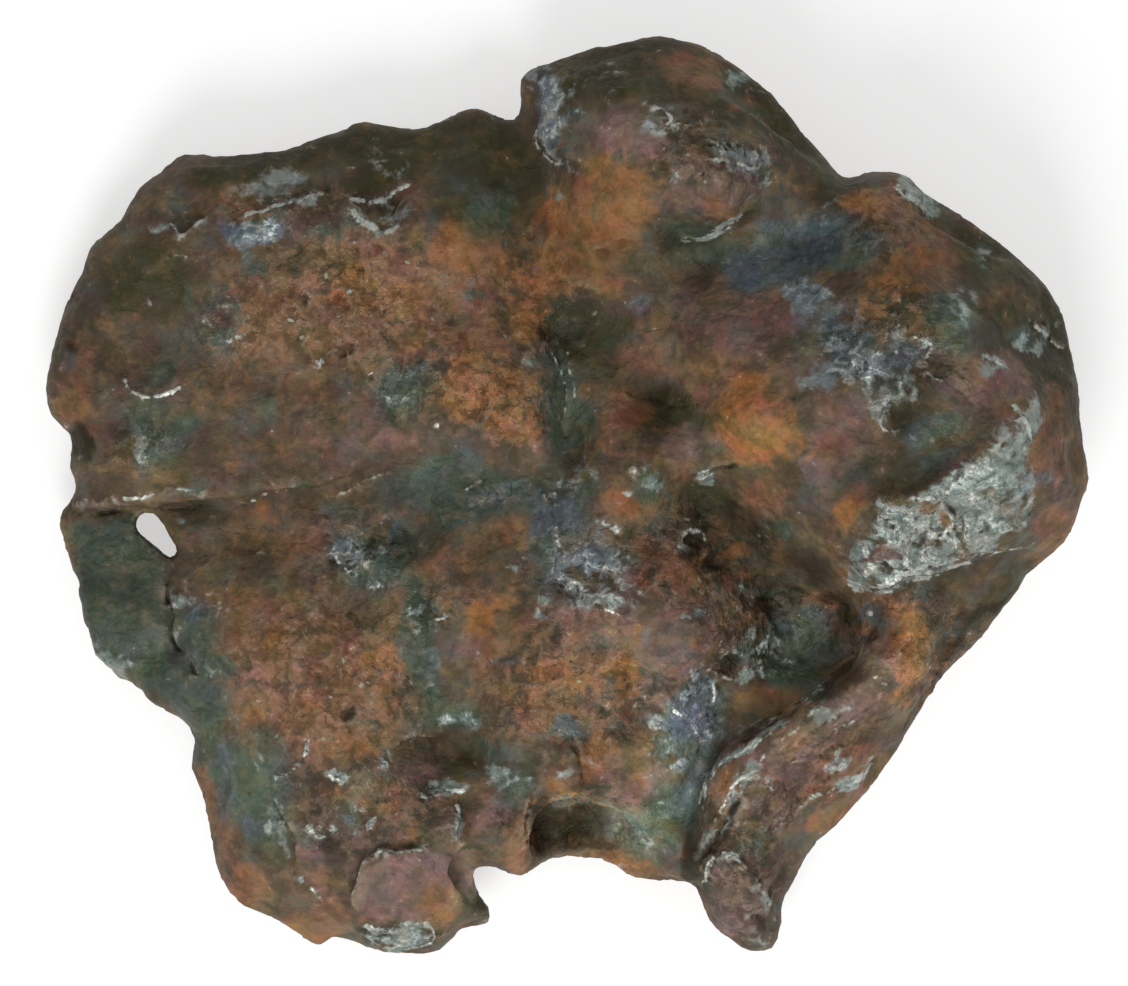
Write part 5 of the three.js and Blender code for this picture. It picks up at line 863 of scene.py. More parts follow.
        [89.5, 42.5, 3, 6, 0, 0.5], [85, 45, 3, 3, 0, 0.4],
    ],
    # the darkest stains: soot, and painted shade in the valleys, the alcove and along the ledges
    "soot_and_shade": [
        [84, 5, 10.5, 2, 38, 0.55], [0, -77, 8.5, 6, 0, 0.75], [-5, -75.5, 3, 7, 0, 1],
        [72, -28.5, 4.5, 6, 0, 0.6], [63, -42.5, 8.5, 2.5, 35, 0.7], [32, -74.5, 2.5, 9, 15, 0.6],
        [28.5, -81.5, 2, 7, 0, 0.8], [33, -16, 2, 2, 0, 0.9], [28.5, -11.5, 2, 2, 0, 0.9],
        [37.5, -39.5, 2.5, 1.5, 0, 0.5], [-112, 12, 2, 3.5, 0, 0.8], [-113, 34.5, 2.5, 2, 0, 0.8],
        [-49.5, -50.5, 1.5, 1.5, 0, 0.6], [55, -14.5, 6, 3, -45, 0.7], [60.5, -21.5, 7, 3, -45, 0.7],
        [-51, 33.5, 1.5, 1.5, 0, 0.5], [3, -75.5, 7, 3.5, 0, 0.4], [83.5, -24, 9, 3, 40, 0.5],
        [90.5, -29.5, 9, 3, 40, 0.6], [-18.5, -92, 2, 5.5, -50, 0.7], [40, -5.5, 7, 3, -45, 0.5],
        [10.5, 33, 5.5, 3, -30, 0.3], [-111, 11.5, 1.5, 4.5, 0, 0.9], [-83, -3.5, 9, 1.5, 0, 0.5],
        [-111.5, -5.5, 5, 0.5, 0, 0.7], [-3.5, -1, 1, 1.5, 0, 0.8], [28, -12, 2.5, 2.5, 0, 0.8],
        [33, -16.5, 2, 2, 0, 0.7], [37.5, -39.5, 1.5, 1, 0, 0.5], [74.5, 25.5, 2, 1.5, 0, 0.8],
        [-49.5, -49.5, 1.5, 0.5, 15, 0.7], [-59, -22.5, 1, 1, 0, 0.8], [-75.5, -12, 1.5, 0.5, -30, 0.7],
        [-85.5, -39.5, 1.5, 0.5, -50, 0.9], [-62.5, -57.5, 3, 1, 40, 0.6], [-66, -62.5, 2.5, 0.5, 20, 0.5],
        [-33.5, -78.5, 4.5, 1, 6, 0.8], [-47.5, -81, 2.5, 0.5, 0, 0.6], [-27, -82.5, 1, 1, 0, 0.7],
        [-15, -26.5, 3.5, 1, 5, 0.5], [-14, -36.5, 4.5, 1, 30, 0.5], [11.5, -39.5, 0.5, 2.5, 30, 0.5],
        [-1.5, -57.5, 4, 1, 8, 0.6], [4, -55, 1, 3.5, 5, 0.5], [1, -77.5, 8, 5, 0, 0.45],
        [-5, -73.5, 2.5, 3.5, 0, 0.8], [8, -80.5, 6, 1.5, 0, 0.6], [28.5, -85, 1.5, 5, 0, 0.9],
        [34.5, -78, 1, 5, -40, 0.9], [38, -72, 1, 3.5, -40, 0.8], [42, -85.5, 1.5, 2, 0, 0.7],
        [44, -98.5, 1.5, 1.5, 0, 0.8], [43, -96.5, 1, 1, 0, 0.7], [31, -81.5, 1.5, 3, -20, 0.7],
        [46, -86.5, 2, 1, 0, 0.6], [41, -55, 3, 1, 35, 0.8], [46, -53, 3, 1, 20, 0.7],
        [51.5, -49.5, 3, 1, 35, 0.8], [62, -41.5, 6.5, 1, 42, 0.7], [69.5, -33, 3, 1.5, 50, 0.6],
        [49, -24, 3, 1, -15, 0.8], [51, -26, 1, 1.5, 0, 0.8], [43.5, -25, 2.5, 0.5, 40, 0.6],
        [36.5, 62.5, 8, 1, 24, 0.5], [42.5, 63, 4, 2, 20, 0.6], [40, -5.5, 5.5, 2, -45, 0.5],
        [48, -16, 2.5, 4.5, 30, 0.5], [52.5, -21.5, 3.5, 2, -30, 0.8], [60.5, -24, 4.5, 1.5, 10, 0.6],
        [76.5, 1.5, 6, 1, 25, 0.6], [86, 3.5, 6, 1, 28, 0.5], [70.5, -6, 2, 2.5, 30, 0.5],
        [85, -20, 3, 2, 0, 0.4], [88.5, -35.5, 2.5, 1.5, 40, 0.8], [92, -32, 1, 3, 0, 0.6],
        [96.5, -26.5, 5, 1, 38, 0.8], [101, -22, 3, 1, 50, 0.5], [89.5, -24, 1.5, 3, 0, 0.5],
        [90, -9, 0.5, 5, 0, 0.6], [93.5, -13, 3.5, 0.5, 0, 0.6], [88, -3.5, 1, 3, 30, 0.5],
        [-2.5, 17.5, 1, 3.5, 0, 0.4], [8, 10, 2, 2, 0, 0.4], [20.5, 20, 4.5, 1, -12, 0.6],
        [26, 18, 3.5, 1, -10, 0.6], [-5, 45, 2, 1, 0, 0.4], [-13.5, 43, 2, 1.5, 0, 0.6],
        [5.5, 45, 2, 1.5, 0, 0.3], [14.5, 29.5, 2.5, 1, 30, 0.3], [-38, 34.5, 2.5, 1, 0, 0.3],
        [28.5, 25.5, 3, 1, 0, 0.4], [-13, 59, 1, 3.5, 0, 0.3], [-48.5, 33.5, 1, 1, 0, 0.7],
        [-109, 42.5, 1.5, 1.5, 0, 0.6], [-113, 45, 1, 1, 0, 0.7], [-106.5, 43, 1.5, 1.5, 0, 0.6],
        [80.5, 38, 1, 0.5, 0, 0.5], [73.5, 41, 1.5, 1, 0, 0.5], [88.5, 29, 5.5, 0.5, -32, 0.7],
        [91, 25, 4.5, 0.5, -36, 0.6], [81.5, -44.5, 1, 2.5, 0, 0.6], [78, -50.5, 1, 3, -40, 0.7],
        [72, -51.5, 3, 0.5, 20, 0.7], [71, -57.5, 0.5, 2.5, -40, 0.5], [51.5, -67.5, 1.5, 1.5, 30, 0.6],
        [54, -62, 3, 0.5, 45, 0.4], [38.5, -72.5, 2, 0.5, 55, 0.7],
    ],
}

# Painted light and shade, with some tone corrections: hollows that lie in shade are made paler, and faces
# turned from the light darker.
# Zones that are paler (or darker, below 0) as a whole: [x, y, half length, half width, turn, how much]
lightAndToneZones = [
    [8.5, -75, 6, 4.5, 0, 0.5], [73.5, -31.5, 6.5, 6, 0, 0.14], [75, -48.5, 3, 5, 30, 0.12],
    [-24, -87.5, 3, 6, 10, 0.14], [-9.5, 56.5, 4.5, 5, 30, 0.14], [-1.5, 48.5, 5, 4, 0, 0.1],
    [-18.5, -94, 3, 3, 0, 0.12], [-10.5, 56.5, 3.5, 5.5, 35, -0.18], [5.5, 55.5, 8, 6, 0, -0.22],
    [12.5, 80.5, 7.5, 4.5, 0, 0.14], [-47.5, 51, 20.5, 13, -20, 0.12], [57.5, 23, 6.5, 6, 0, -0.2],
    [69, 6, 7, 7.5, 0, -0.25], [75.5, 8.5, 8.5, 4, 30, -0.1], [39, -90.5, 6, 6, 0, -0.18],
    [73.5, -31, 6.5, 7.5, 0, 0.3], [75, -48, 3.5, 3, 0, 0.45], [3, -75, 9.5, 5, 0, 0.45],
    [-24, -87, 2.5, 6.5, 0, 0.3], [-23, -94.5, 4, 3, 0, 0.3], [55, 62.5, 8.5, 5, 0, -0.12],
    [14.5, 9.5, 7, 5.5, 0, -0.12], [1, 47.5, 4.5, 3.5, 0, -0.06], [37.5, -47, 9, 6, 0, 0.25],
    [-24, -66.5, 7, 6.5, 0, 0.25], [-20.5, -88.5, 2, 3.5, 0, 1], [-23.5, -86.5, 3, 8, 15, 0.7],
    [78, 25.5, 8, 9, 0, -0.18], [55, -27, 4.5, 3.5, 0, -0.35], [46, -12, 7, 4, -45, -0.12],
    [31, 100.5, 14, 3.5, -20, -0.06], [46, -11.5, 8.5, 5, -45, -0.12], [8, 95, 14, 3, 10, -0.1],
    [-61, -84, 8.5, 7, 0, 0.12], [-46, -75.5, 8, 5, 0, 0.12], [58.5, -53.5, 10, 4.5, 35, 0.15],
    [-10.5, 55.5, 8.5, 11.5, 35, -0.08], [39, 34.5, 9, 6, 0, -0.08], [43.5, 43, 7, 7, 0, -0.06],
    [109, 47.5, 6, 11.5, 25, -0.15], [112.5, 23, 5, 16, 4, -0.25], [54, -25, 7, 5, -40, -0.3],
    [20.5, -50, 3.5, 4.5, 0, -0.15], [37.5, -51.5, 6, 5.5, 0, 0.3], [63, -35, 5.5, 3.5, 0, 0.3],
    [-40.5, -60.5, 9, 7, 0, 0.2], [-1, 21.5, 3.5, 10.5, 0, 0.25], [19.5, 13, 5.5, 3.5, 0, -0.2],
    [-11.5, -82, 3.5, 5.5, 0, 0.3], [26.5, 61.5, 8.5, 4.5, 0, -0.3], [44.5, -26, 9, 5.5, -30, -0.25],
    [54, -49.5, 14, 3, 40, 0.65], [46.5, -47.5, 7, 3.5, 20, 0.4], [82.5, 6, 14, 3, 33, -0.2],
    [80.5, -25, 5.5, 3, 0, 0.4], [39.5, -23.5, 5.5, 4, 0, 0.35], [45, -40, 7, 4, -20, 0.3],
    [31, -44.5, 7, 3.5, 0, 0.25], [39, -62, 3.5, 8, -30, 0.35], [-23, -68.5, 5.5, 5, 0, 0.5],
    [-43, -63.5, 10, 5.5, 0, 0.3], [-23, -87.5, 3, 5, 0, 0.6], [-31.5, 35.5, 5.5, 3, 0, 0.2],
    [-3, 12, 4.5, 4, 0, 0.2], [69, 66.5, 5.5, 3.5, 0, 0.35], [23, 18.5, 7, 3, 0, 0.2],
    [19.5, -50, 3.5, 3.5, 0, -0.2], [11.5, -19.5, 3, 3, 0, -0.15], [74.5, 26, 4.5, 3.5, 0, -0.2],
    [19.5, -83, 7, 2.5, 0, -0.2], [43.5, -98.5, 3.5, 3.5, 0, -0.2], [42.5, 76, 8, 3.5, 0, -0.15],
    [-33, -34.5, 4.5, 11.5, 0, -0.25], [-20, 0, 20.5, 5.5, 0, -0.3], [8, -37.5, 10, 10, 0, 0.25],
    [-61, 79.5, 20.5, 3, 6, -0.25], [8, 100.5, 18.5, 3, 10, -0.3], [57.5, -33, 13, 11.5, 0, 1.4],
    [25, -58.5, 8.5, 13, 0, 1], [19.5, -77, 10, 7, 0, 0.9], [1, -75.5, 8, 6, 0, 2.2],
    [42.5, 16.5, 8.5, 10.5, -10, 0.3], [-15, -24, 4.5, 3.5, 0, 0.3], [13.5, 80.5, 9, 8.5, 0, 0.35],
    [-56.5, -44.5, 18.5, 16, 0, 0.2], [-105, -21.5, 10.5, 14, 0, -0.3], [43.5, -81.5, 7, 14, 10, -0.1],
    [35, -70, 3, 8, -25, 0.35], [43, -65.5, 3, 4.5, 0, 0.2], [44.5, -78, 5, 3.5, 0, 0.25],
    [-109.5, 31.5, 6, 14, 0, -0.3], [-31.5, -5.5, 16, 8, 0, -0.35], [94, -1, 11.5, 9, 25, 0.15],
    [75.5, -33, 8, 11.5, 20, 0.7], [-1.5, 45, 11.5, 9, 0, -0.2], [74.5, 52, 11.5, 11.5, 0, -0.2],
    [-29, -37.5, 14, 20.5, 0, 0.15], [-79.5, 3.5, 25.5, 6, 0, 0.15], [88.5, 41.5, 5, 7, 0, 0.3],
    [-71.5, 61, 7, 3, 0, 0.15], [-2.5, 89, 4, 9, 0, 0.1], [-20, -60.5, 14, 7, 0, 0.2],
    [-72.5, -65.5, 7, 11.5, 20, 0.4], [1, 22, 4.5, 14, 0, -0.15],
]

# On the sides and the underside the same stains lie in drifts:
# [drift size, level where it sets in, strength, seed]
drifts = {
    "umber": [34, 0.10, 0.8, 11],
    "rust": [28, -0.05, 0.8, 12],
    "ochre": [22, 0.22, 0.7, 13],
    "mauve": [30, 0.12, 0.6, 14],
    "ruddy": [24, 0.25, 0.5, 19],
    "teal": [32, 0.10, 0.7, 15],
    "slate": [26, 0.28, 0.7, 16],
    "silver": [14, 0.42, 0.7, 17],
    "soot_and_shade": [16, 0.45, 0.6, 18],
}

weather = {
    "upperFace": (-0.1, 0.2),       # upward lean at which the drifts give way to the drawn stains
    "warpSize": 12.0,               # mm
    "warpReach": 2.6,               # how far the stains wander from plain ellipses, mm
    "stainSoft": 0.9,               # width of their soft edges, as a share of their size
    "roughSoft": 1.2,
    # the zones of painted light and shade: how soft their edges are, and how dark they may get together
    "lightZoneSoft": 1.1,
    "driftSoft": 0.25,
    "darkest": -0.5,                # however many dark zones lie on each other
    "ragged": (0.85, 1.1),          # a drawn line's mean strength, and how much it varies along the line
    "lineFade": 0.1,
    "lineWidth": 0.9,               # width of a line's colour next to that of its relief
    # how dark the cracks and pits are: soot, and painted shade
    "crackSootAndShade": 0.9,
    "pitSootAndShade": 0.8,
    "sideRough": 0.6,               # how crumbled the sides and the underside look
    "crestRounds": 3, "crestBend": 0.35,      # bend of the surface, per mm, that counts as a full crest
    "broadRounds": 14, "broadBend": 0.07,     # the same for broad swells, once it is evened out some more
}


def bendOf(points, normals, edges):
    # how fast the normals spread along the edges: positive on a crest, negative in a hollow
    step = points[edges[:, 1]] - points[edges[:, 0]]
    spread = normals[edges[:, 1]] - normals[edges[:, 0]]
    turn = (spread * step).sum(1) / np.maximum((step ** 2).sum(1), 0.01)
    return sumOverEdges(turn, turn, edges, len(points)) / degreeOf(edges, len(points))


def paintStains(points, x, y, facing):
    # how much of each stain lies at each point
    made = {}
    for name, patches in stains.items():
        size, level, strength, seed = drifts[name]
        noiseThere = fractalField(points, size, 4, seed)
        drift = strength * smoothstep(level, level + weather["driftSoft"], noiseThere)
        made[name] = facing * patchField(patches, x, y, weather["stainSoft"]) + (1 - facing) * drift
    return made


def paintLines(points, facing, soot_and_shade):
    # bright rims, worn metal and partly a painted highlight, and soot with painted shade in the cracks and
    # pits
    worn_and_highlight = np.zeros(len(points))
    x, y = strayed(points)
    ragged = raggedField(points, *weather["ragged"])
    for rise, halfWidth, shine, corners in strokes:
        near, gap, _, along = besideLine(smoothLine(corners), x, y, lineTail * halfWidth)
        line = bell(gap, weather["lineWidth"] * halfWidth) * fadeEnds(along, weather["lineFade"])
        line = line * ragged[near]
        worn_and_highlight[near] = np.maximum(worn_and_highlight[near], shine * line)
        if rise < 0:
            sootAndShade = weather["crackSootAndShade"] * min(1, -rise) * line * facing[near]
            soot_and_shade[near] = np.maximum(soot_and_shade[near], sootAndShade)
    for cx, cy, radius, depth, shine in pits:
        away = pitGap(x, y, cx, cy, radius, ragged)
        # a pit's bright rim lies on its +Y side only, where the light falls into it: worn metal and painted
        # highlight; a stud is worn bright all over
        worn = bell(away - 1.15, 0.25) * (y > cy) if depth > 0 else np.exp(-away ** 4)
        worn_and_highlight = np.maximum(worn_and_highlight, shine * worn * ragged)
        if depth > 0:
            soot_and_shade = np.maximum(soot_and_shade, weather["pitSootAndShade"] * min(1, depth) * np.exp(-away ** 4) * facing)
    return worn_and_highlight * facing, soot_and_shade


def evened(values, edges, rounds):
    for _ in range(rounds):
        values = neighbourMean(values, edges)
    return values


def paintFields(mesh):
    # everything that the material needs to know, one number for each point
    points, normals, edges = readPoints(mesh), readNormals(mesh), readEdges(mesh)
    facing = smoothstep(*weather["upperFace"], normals[:, 2])
    shift = [fractalField(points, weather["warpSize"], 4, seed) * weather["warpReach"] for seed in (5, 6)]
    x, y = points[:, 0] + shift[0], points[:, 1] + shift[1]
    fields = paintStains(points, x, y, facing)
    fields["worn_and_highlight"], fields["soot_and_shade"] = paintLines(points, facing, fields["soot_and_shade"])
    crumbled = patchField(roughPatches, x, y, weather["roughSoft"])
    fields["rough"] = facing * crumbled + (1 - facing) * weather["sideRough"]
    # painted light and shade, with some tone corrections: each zone makes the upper face paler or darker as
    # a whole
    paintedLightAndTone = sum(gain * patchField([[*zone, 1]], x, y, weather["lightZoneSoft"]) for *zone, gain in lightAndToneZones)
    fields["paintedLightAndTone"] = facing * np.maximum(paintedLightAndTone, weather["darkest"])
    bend = evened(bendOf(points, normals, edges), edges, weather["crestRounds"])
    fields["crest"] = np.clip(bend / weather["crestBend"], -1, 1)
    bend = evened(bend, edges, weather["broadRounds"])
    fields["broad"] = np.clip(bend / weather["broadBend"], -1, 1)
    for name, values in fields.items():
        layer = mesh.attributes.new(name, "FLOAT", "POINT")
        layer.data.foreach_set("value", values.astype(np.float32))


paintFields(lump.data)
print("stains and wear painted")

# Two tones for each layer, as the screen's red, green and blue
tones = {
    "crust": [(64, 58, 45), (103, 84, 66)],
    "umber": [(50, 49, 25), (66, 62, 37)],
    "rust": [(94, 70, 49), (144, 108, 80)],
    "ochre": [(108, 75, 38), (165, 113, 67)],
    "mauve": [(84, 69, 62), (136, 108, 98)],
    "ruddy": [(92, 55, 35), (138, 82, 57)],
    "teal": [(51, 65, 54), (85, 98, 84)],
    "slate": [(58, 71, 75), (98, 112, 115)],
    "silver": [(98, 111, 108), (160, 173, 167)],
    "lavender": [(98, 107, 112), (148, 156, 162)],
    # the bright rims: worn metal, and partly a painted highlight
    "worn": [(148, 156, 149), (210, 218, 211)],
    # soot, and the tone of painted shade
    "soot_and_shade": [(30, 24, 12), (48, 39, 24)],
}
# Thin veils over all of it, one tone each
veils = {
    "warm": (128, 88, 62),
    "cool": (66, 74, 62),
    "pale": (176, 176, 162),
    "rubbed": (150, 132, 110),
}
finish = {
    "brightness": 0.95,
    "specular": 0.2,
    "roughness": {"crust": 0.66, "umber": 0.62, "rust": 0.74, "ochre": 0.8, "mauve": 0.6, "ruddy": 0.7,
                  "teal": 0.54, "slate": 0.46, "silver": 0.44, "soot_and_shade": 0.78},
    "metal": {"crust": 0.05, "umber": 0.1, "rust": 0.0, "ochre": 0.0, "mauve": 0.1, "ruddy": 0.05,
              "teal": 0.15, "slate": 0.3, "silver": 0.45, "soot_and_shade": 0.0},
    # the stains in the order they are laid: the level at the edge, where it is full, and the most it covers
    "reach": {"umber": (0.1, 0.95, 0.9), "mauve": (0.15, 1.0, 0.85), "rust": (0.12, 1.0, 0.9),
              "ochre": (0.25, 1.2, 0.9), "ruddy": (0.2, 1.1, 0.85), "teal": (0.2, 0.95, 0.9),
              "slate": (0.25, 0.95, 0.9)},
    # the same for what is laid over and under them
    "blotches": (0.48, 0.68, 0.8), "warmVeil": (0.5, 0.62, 0.35), "coolVeil": (0.5, 0.62, 0.3),
    "silver": (0.4, 1.05, 0.9), "rims": (0.3, 0.8, 1.0), "rubbed": (0.15, 1.1, 0.35),
    # the darkening of the broad hollows is painted shade
    "hollow": (0.15, 1.0, 0.45), "broadHollowShade": (0.25, 1.2, 0.4), "sootAndShade": (0.15, 0.95, 0.85),
    # thin lines in the noise: the level they follow, their half width, and the most they cover
    "veins": (0.5, 0.035, 0.85), "scabLips": (0.51, 0.012, 0.4),
    "flakeEdges": (0.53, 0.012, 0.35), "flakeGaps": (0.5, 0.018, 0.55),
    "toneSpread": (0.38, 0.62),              # how sharply the dark and the light tone of a layer part
    "calmMottle": 0.55,                      # how mottled the calm parts are, next to the crumbled ones
    "flicker": 0.9,                          # contrast of the finest grain
    "speckShare": 0.36,                      # of the spots, this share is bare metal, and as much is soot
    # sizes of the noises, in mm; they are stirred, so that they look run
    "stirSize": 6.0, "stir": 4.0,
    "hueSize": 8.0, "midSize": 3.0, "fineSize": 1.1, "scabSize": 9.5, "speckSize": 4.2, "grainSize": 2.4,
    "scabHeight": 0.22, "grainHeight": 0.9, "bumpStrength": 0.8,
    "bumpDepth": 1.0,                        # mm
}


def linear(rgb):
    # a colour of the screen as the shader wants it
    made = []
    for value in rgb:
        share = value / 255
        light = share / 12.92 if share <= 0.04045 else ((share + 0.055) / 1.055) ** 2.4
        made.append(finish["brightness"] * light)
    return made + [1.0]


class NodePlan:
    # short ways to add nodes; each gives back the output socket
    def __init__(self, material):
        material.use_nodes = True
        self.tree = material.node_tree
        self.tree.nodes.clear()

    def add(self, kind, **settings):
        made = self.tree.nodes.new(kind)
        for name, value in settings.items():
            setattr(made, name, value)
        return made

    def feed(self, socket, value):
        if isinstance(value, bpy.types.NodeSocket):
            self.tree.links.new(value, socket)
        else:
            socket.default_value = value

    def maths(self, operation, a, b=0.0, clamp=False):
        made = self.add("ShaderNodeMath", operation=operation, use_clamp=clamp)
        self.feed(made.inputs[0], a)
        self.feed(made.inputs[1], b)
        return made.outputs[0]

    def plus(self, a, b):
        return self.maths("ADD", a, b)

    def times(self, a, b):
        return self.maths("MULTIPLY", a, b)

    def larger(self, a, b):
        return self.maths("MAXIMUM", a, b)

    def centred(self, value, gain):
        return self.times(self.maths("SUBTRACT", value, 0.5), gain)

    def near(self, value, level, width, most):
        # a thin line where the noise passes a level
        away = self.maths("ABSOLUTE", self.maths("SUBTRACT", value, level))
        return self.ramp(away, 0.0, width, (most, 0.0))

    def field(self, name):
        return self.add("ShaderNodeAttribute", attribute_name=name).outputs["Fac"]

    def ramp(self, value, low, high, to=(0.0, 1.0)):
        made = self.add("ShaderNodeMapRange", interpolation_type="SMOOTHSTEP")
        for socket, number in zip(made.inputs[1:5], (low, high, *to)):
            socket.default_value = number
        self.feed(made.inputs[0], value)
        return made.outputs[0]

    def cover(self, value, low, high, most):
        # nothing below the first level, the most above the second
        return self.ramp(value, low, high, (0.0, most))

    def noise(self, place, size, detail, rough, output="Fac"):
        made = self.add("ShaderNodeTexNoise")
        self.feed(made.inputs["Vector"], place)
        for name, number in (("Scale", 1 / size), ("Detail", detail), ("Roughness", rough)):
            made.inputs[name].default_value = number
        return made.outputs[output]

    def spots(self, place, size):
        # how far from the middle of its spot each point is, and a random number for each spot
        made = self.add("ShaderNodeTexVoronoi")
        self.feed(made.inputs["Vector"], place)
        made.inputs["Scale"].default_value = 1 / size
        lot = self.add("ShaderNodeRGBToBW")
        self.feed(lot.inputs[0], made.outputs["Color"])
        return made.outputs["Distance"], lot.outputs[0]

    def vector(self, operation, a, b):
        made = self.add("ShaderNodeVectorMath", operation=operation)
        self.feed(made.inputs[0], a)
        self.feed(made.inputs[3 if operation == "SCALE" else 1], b)
        return made.outputs[0]

    def channels(self, colour):
        made = self.add("ShaderNodeSeparateColor")
        self.feed(made.inputs[0], colour)
        return made.outputs[0], made.outputs[1], made.outputs[2]

    def mix(self, share, a, b):
        made = self.add("ShaderNodeMix", data_type="RGBA")
        self.feed(made.inputs[0], share)
        self.feed(made.inputs[6], a)
        self.feed(made.inputs[7], b)
        return made.outputs[2]

    def blend(self, share, a, b):
        made = self.add("ShaderNodeMix", data_type="FLOAT")
        self.feed(made.inputs[0], share)
        self.feed(made.inputs[2], a)
        self.feed(made.inputs[3], b)
        return made.outputs[0]


class Coat:
    # colour, roughness and metal of the crust, built up layer by layer
    def __init__(self, plan, tone):
        self.plan, self.tone = plan, tone
        self.colour = self.layer("crust")
        self.rough, self.metal = finish["roughness"]["crust"], finish["metal"]["crust"]

    def layer(self, name):
        dark, light = (linear(rgb) for rgb in tones[name])
        return self.plan.mix(self.tone, dark, light)

    def tint(self, share, colour):
        self.colour = self.plan.mix(share, self.colour, colour)

    def wear(self, share, name):
        self.rough = self.plan.blend(share, self.rough, finish["roughness"][name])
        self.metal = self.plan.blend(share, self.metal, finish["metal"][name])

    def lay(self, share, name):
        self.tint(share, self.layer(name))
        self.wear(share, name)


def buildCrust():
    material = bpy.data.materials.new("rusted_iron")
    plan = NodePlan(material)
    place = plan.vector("SCALE", plan.add("ShaderNodeTexCoord").outputs["Object"], 1 / mm)
    swirl = plan.vector("SUBTRACT", plan.noise(place, finish["stirSize"], 1, 0.5, "Color"), (0.5, 0.5, 0.5))
    swirled = plan.vector("ADD", place, plan.vector("SCALE", swirl, finish["stir"]))

    hues = plan.noise(swirled, finish["hueSize"], 3, 0.6, "Color")
    edgeNoise, warmth, greenness = plan.channels(hues)
    midNoise = plan.noise(swirled, finish["midSize"], 3, 0.6)
    fineNoise = plan.noise(place, finish["fineSize"], 1, 0.5)
    scabNoise = plan.noise(place, finish["scabSize"], 3, 0.55)
    crest, broad, crumbled = plan.field("crest"), plan.field("broad"), plan.field("rough")

    # the calm parts of the face are mottled less than the crumbled ones
    mottle = plan.ramp(crumbled, 0.0, 1.0, (finish["calmMottle"], 1.0))
    tone = plan.blend(mottle, 0.5, plan.ramp(plan.blend(0.55, greenness, midNoise), *finish["toneSpread"]))

    # the stains, over a crust with warmer and greener blotches; noise breaks up their edges
    coat = Coat(plan, tone)
    coat.tint(plan.times(plan.cover(warmth, *finish["blotches"]), mottle), coat.layer("rust"))
    coat.tint(plan.times(plan.cover(greenness, *finish["blotches"]), mottle), coat.layer("teal"))
    wander = plan.times(plan.plus(plan.centred(edgeNoise, 2.0), plan.centred(midNoise, 1.4)), mottle)
    for name, reach in finish["reach"].items():
        coat.lay(plan.cover(plan.plus(plan.field(name), wander), *reach), name)

    # the hue of the oxides wanders a little everywhere
    coat.colour = plan.vector("MULTIPLY", coat.colour, plan.vector("ADD", hues, (0.5, 0.5, 0.5)))

    # worn metal shows in flecks: on the crests inside the silver stains, and along the drawn rims, whose
    # bright line is partly a painted highlight
    silverField = plan.field("silver")
    flecks = plan.plus(plan.centred(midNoise, 1.8), plan.centred(edgeNoise, 1.6))
    flecks = plan.plus(flecks, plan.times(crest, 0.4))
    silver = plan.cover(plan.plus(silverField, flecks), *finish["silver"])
    frayed = plan.plus(plan.centred(fineNoise, 1.1), plan.centred(midNoise, 1.2))
    rims = plan.cover(plan.plus(plan.field("worn_and_highlight"), frayed), *finish["rims"])
    veins = plan.times(plan.near(edgeNoise, *finish["veins"]), plan.ramp(silverField, 0.2, 0.7))
    veins = plan.times(veins, plan.ramp(crumbled, 0.0, 0.7, (0.4, 1.0)))
    rims = plan.larger(rims, plan.times(veins, plan.ramp(midNoise, 0.42, 0.56)))
    bare = plan.mix(plan.ramp(plan.field("slate"), 0.1, 0.6), coat.layer("silver"), coat.layer("lavender"))
    coat.tint(silver, bare)
    coat.tint(rims, coat.layer("worn"))
    coat.wear(plan.larger(silver, rims), "silver")

    # painted light and shade: the colour is scaled paler or darker zone by zone
    coat.colour = plan.vector("SCALE", coat.colour, plan.plus(plan.field("paintedLightAndTone"), 1.0))
    flicker = plan.times(plan.centred(fineNoise, finish["flicker"]), mottle)
    coat.colour = plan.vector("SCALE", coat.colour, plan.plus(flicker, 1.0))

    # every stain is mottled with warmer and greener oxide
    warmShare = plan.cover(plan.blend(0.5, warmth, midNoise), *finish["warmVeil"])
    coolShare = plan.cover(plan.blend(0.4, greenness, edgeNoise), *finish["coolVeil"])
    coat.tint(plan.times(warmShare, mottle), linear(veils["warm"]))
    coat.tint(plan.times(coolShare, mottle), linear(veils["cool"]))

    # where it has crumbled: pale lines along the lips of the flakes, and specks of bare metal and of soot
    scabLips = plan.times(plan.near(scabNoise, *finish["scabLips"]), plan.ramp(midNoise, 0.5, 0.62))
    flakeEdges = plan.near(midNoise, *finish["flakeEdges"])
    flakeGaps = plan.near(midNoise, *finish["flakeGaps"])
    distance, lot = plan.spots(swirled, finish["speckSize"])
    spot = plan.ramp(plan.plus(distance, plan.centred(fineNoise, 0.35)), 0.06, 0.16, (0.9, 0.0))
    speck = plan.times(spot, plan.maths("GREATER_THAN", lot, 1 - finish["speckShare"]))
    sootAndShade = plan.times(spot, plan.maths("LESS_THAN", lot, finish["speckShare"]))
    pale = plan.larger(plan.larger(scabLips, flakeEdges), speck)
    coat.tint(plan.times(pale, crumbled), linear(veils["pale"]))
    coat.tint(plan.times(plan.larger(sootAndShade, flakeGaps), crumbled), coat.layer("soot_and_shade"))

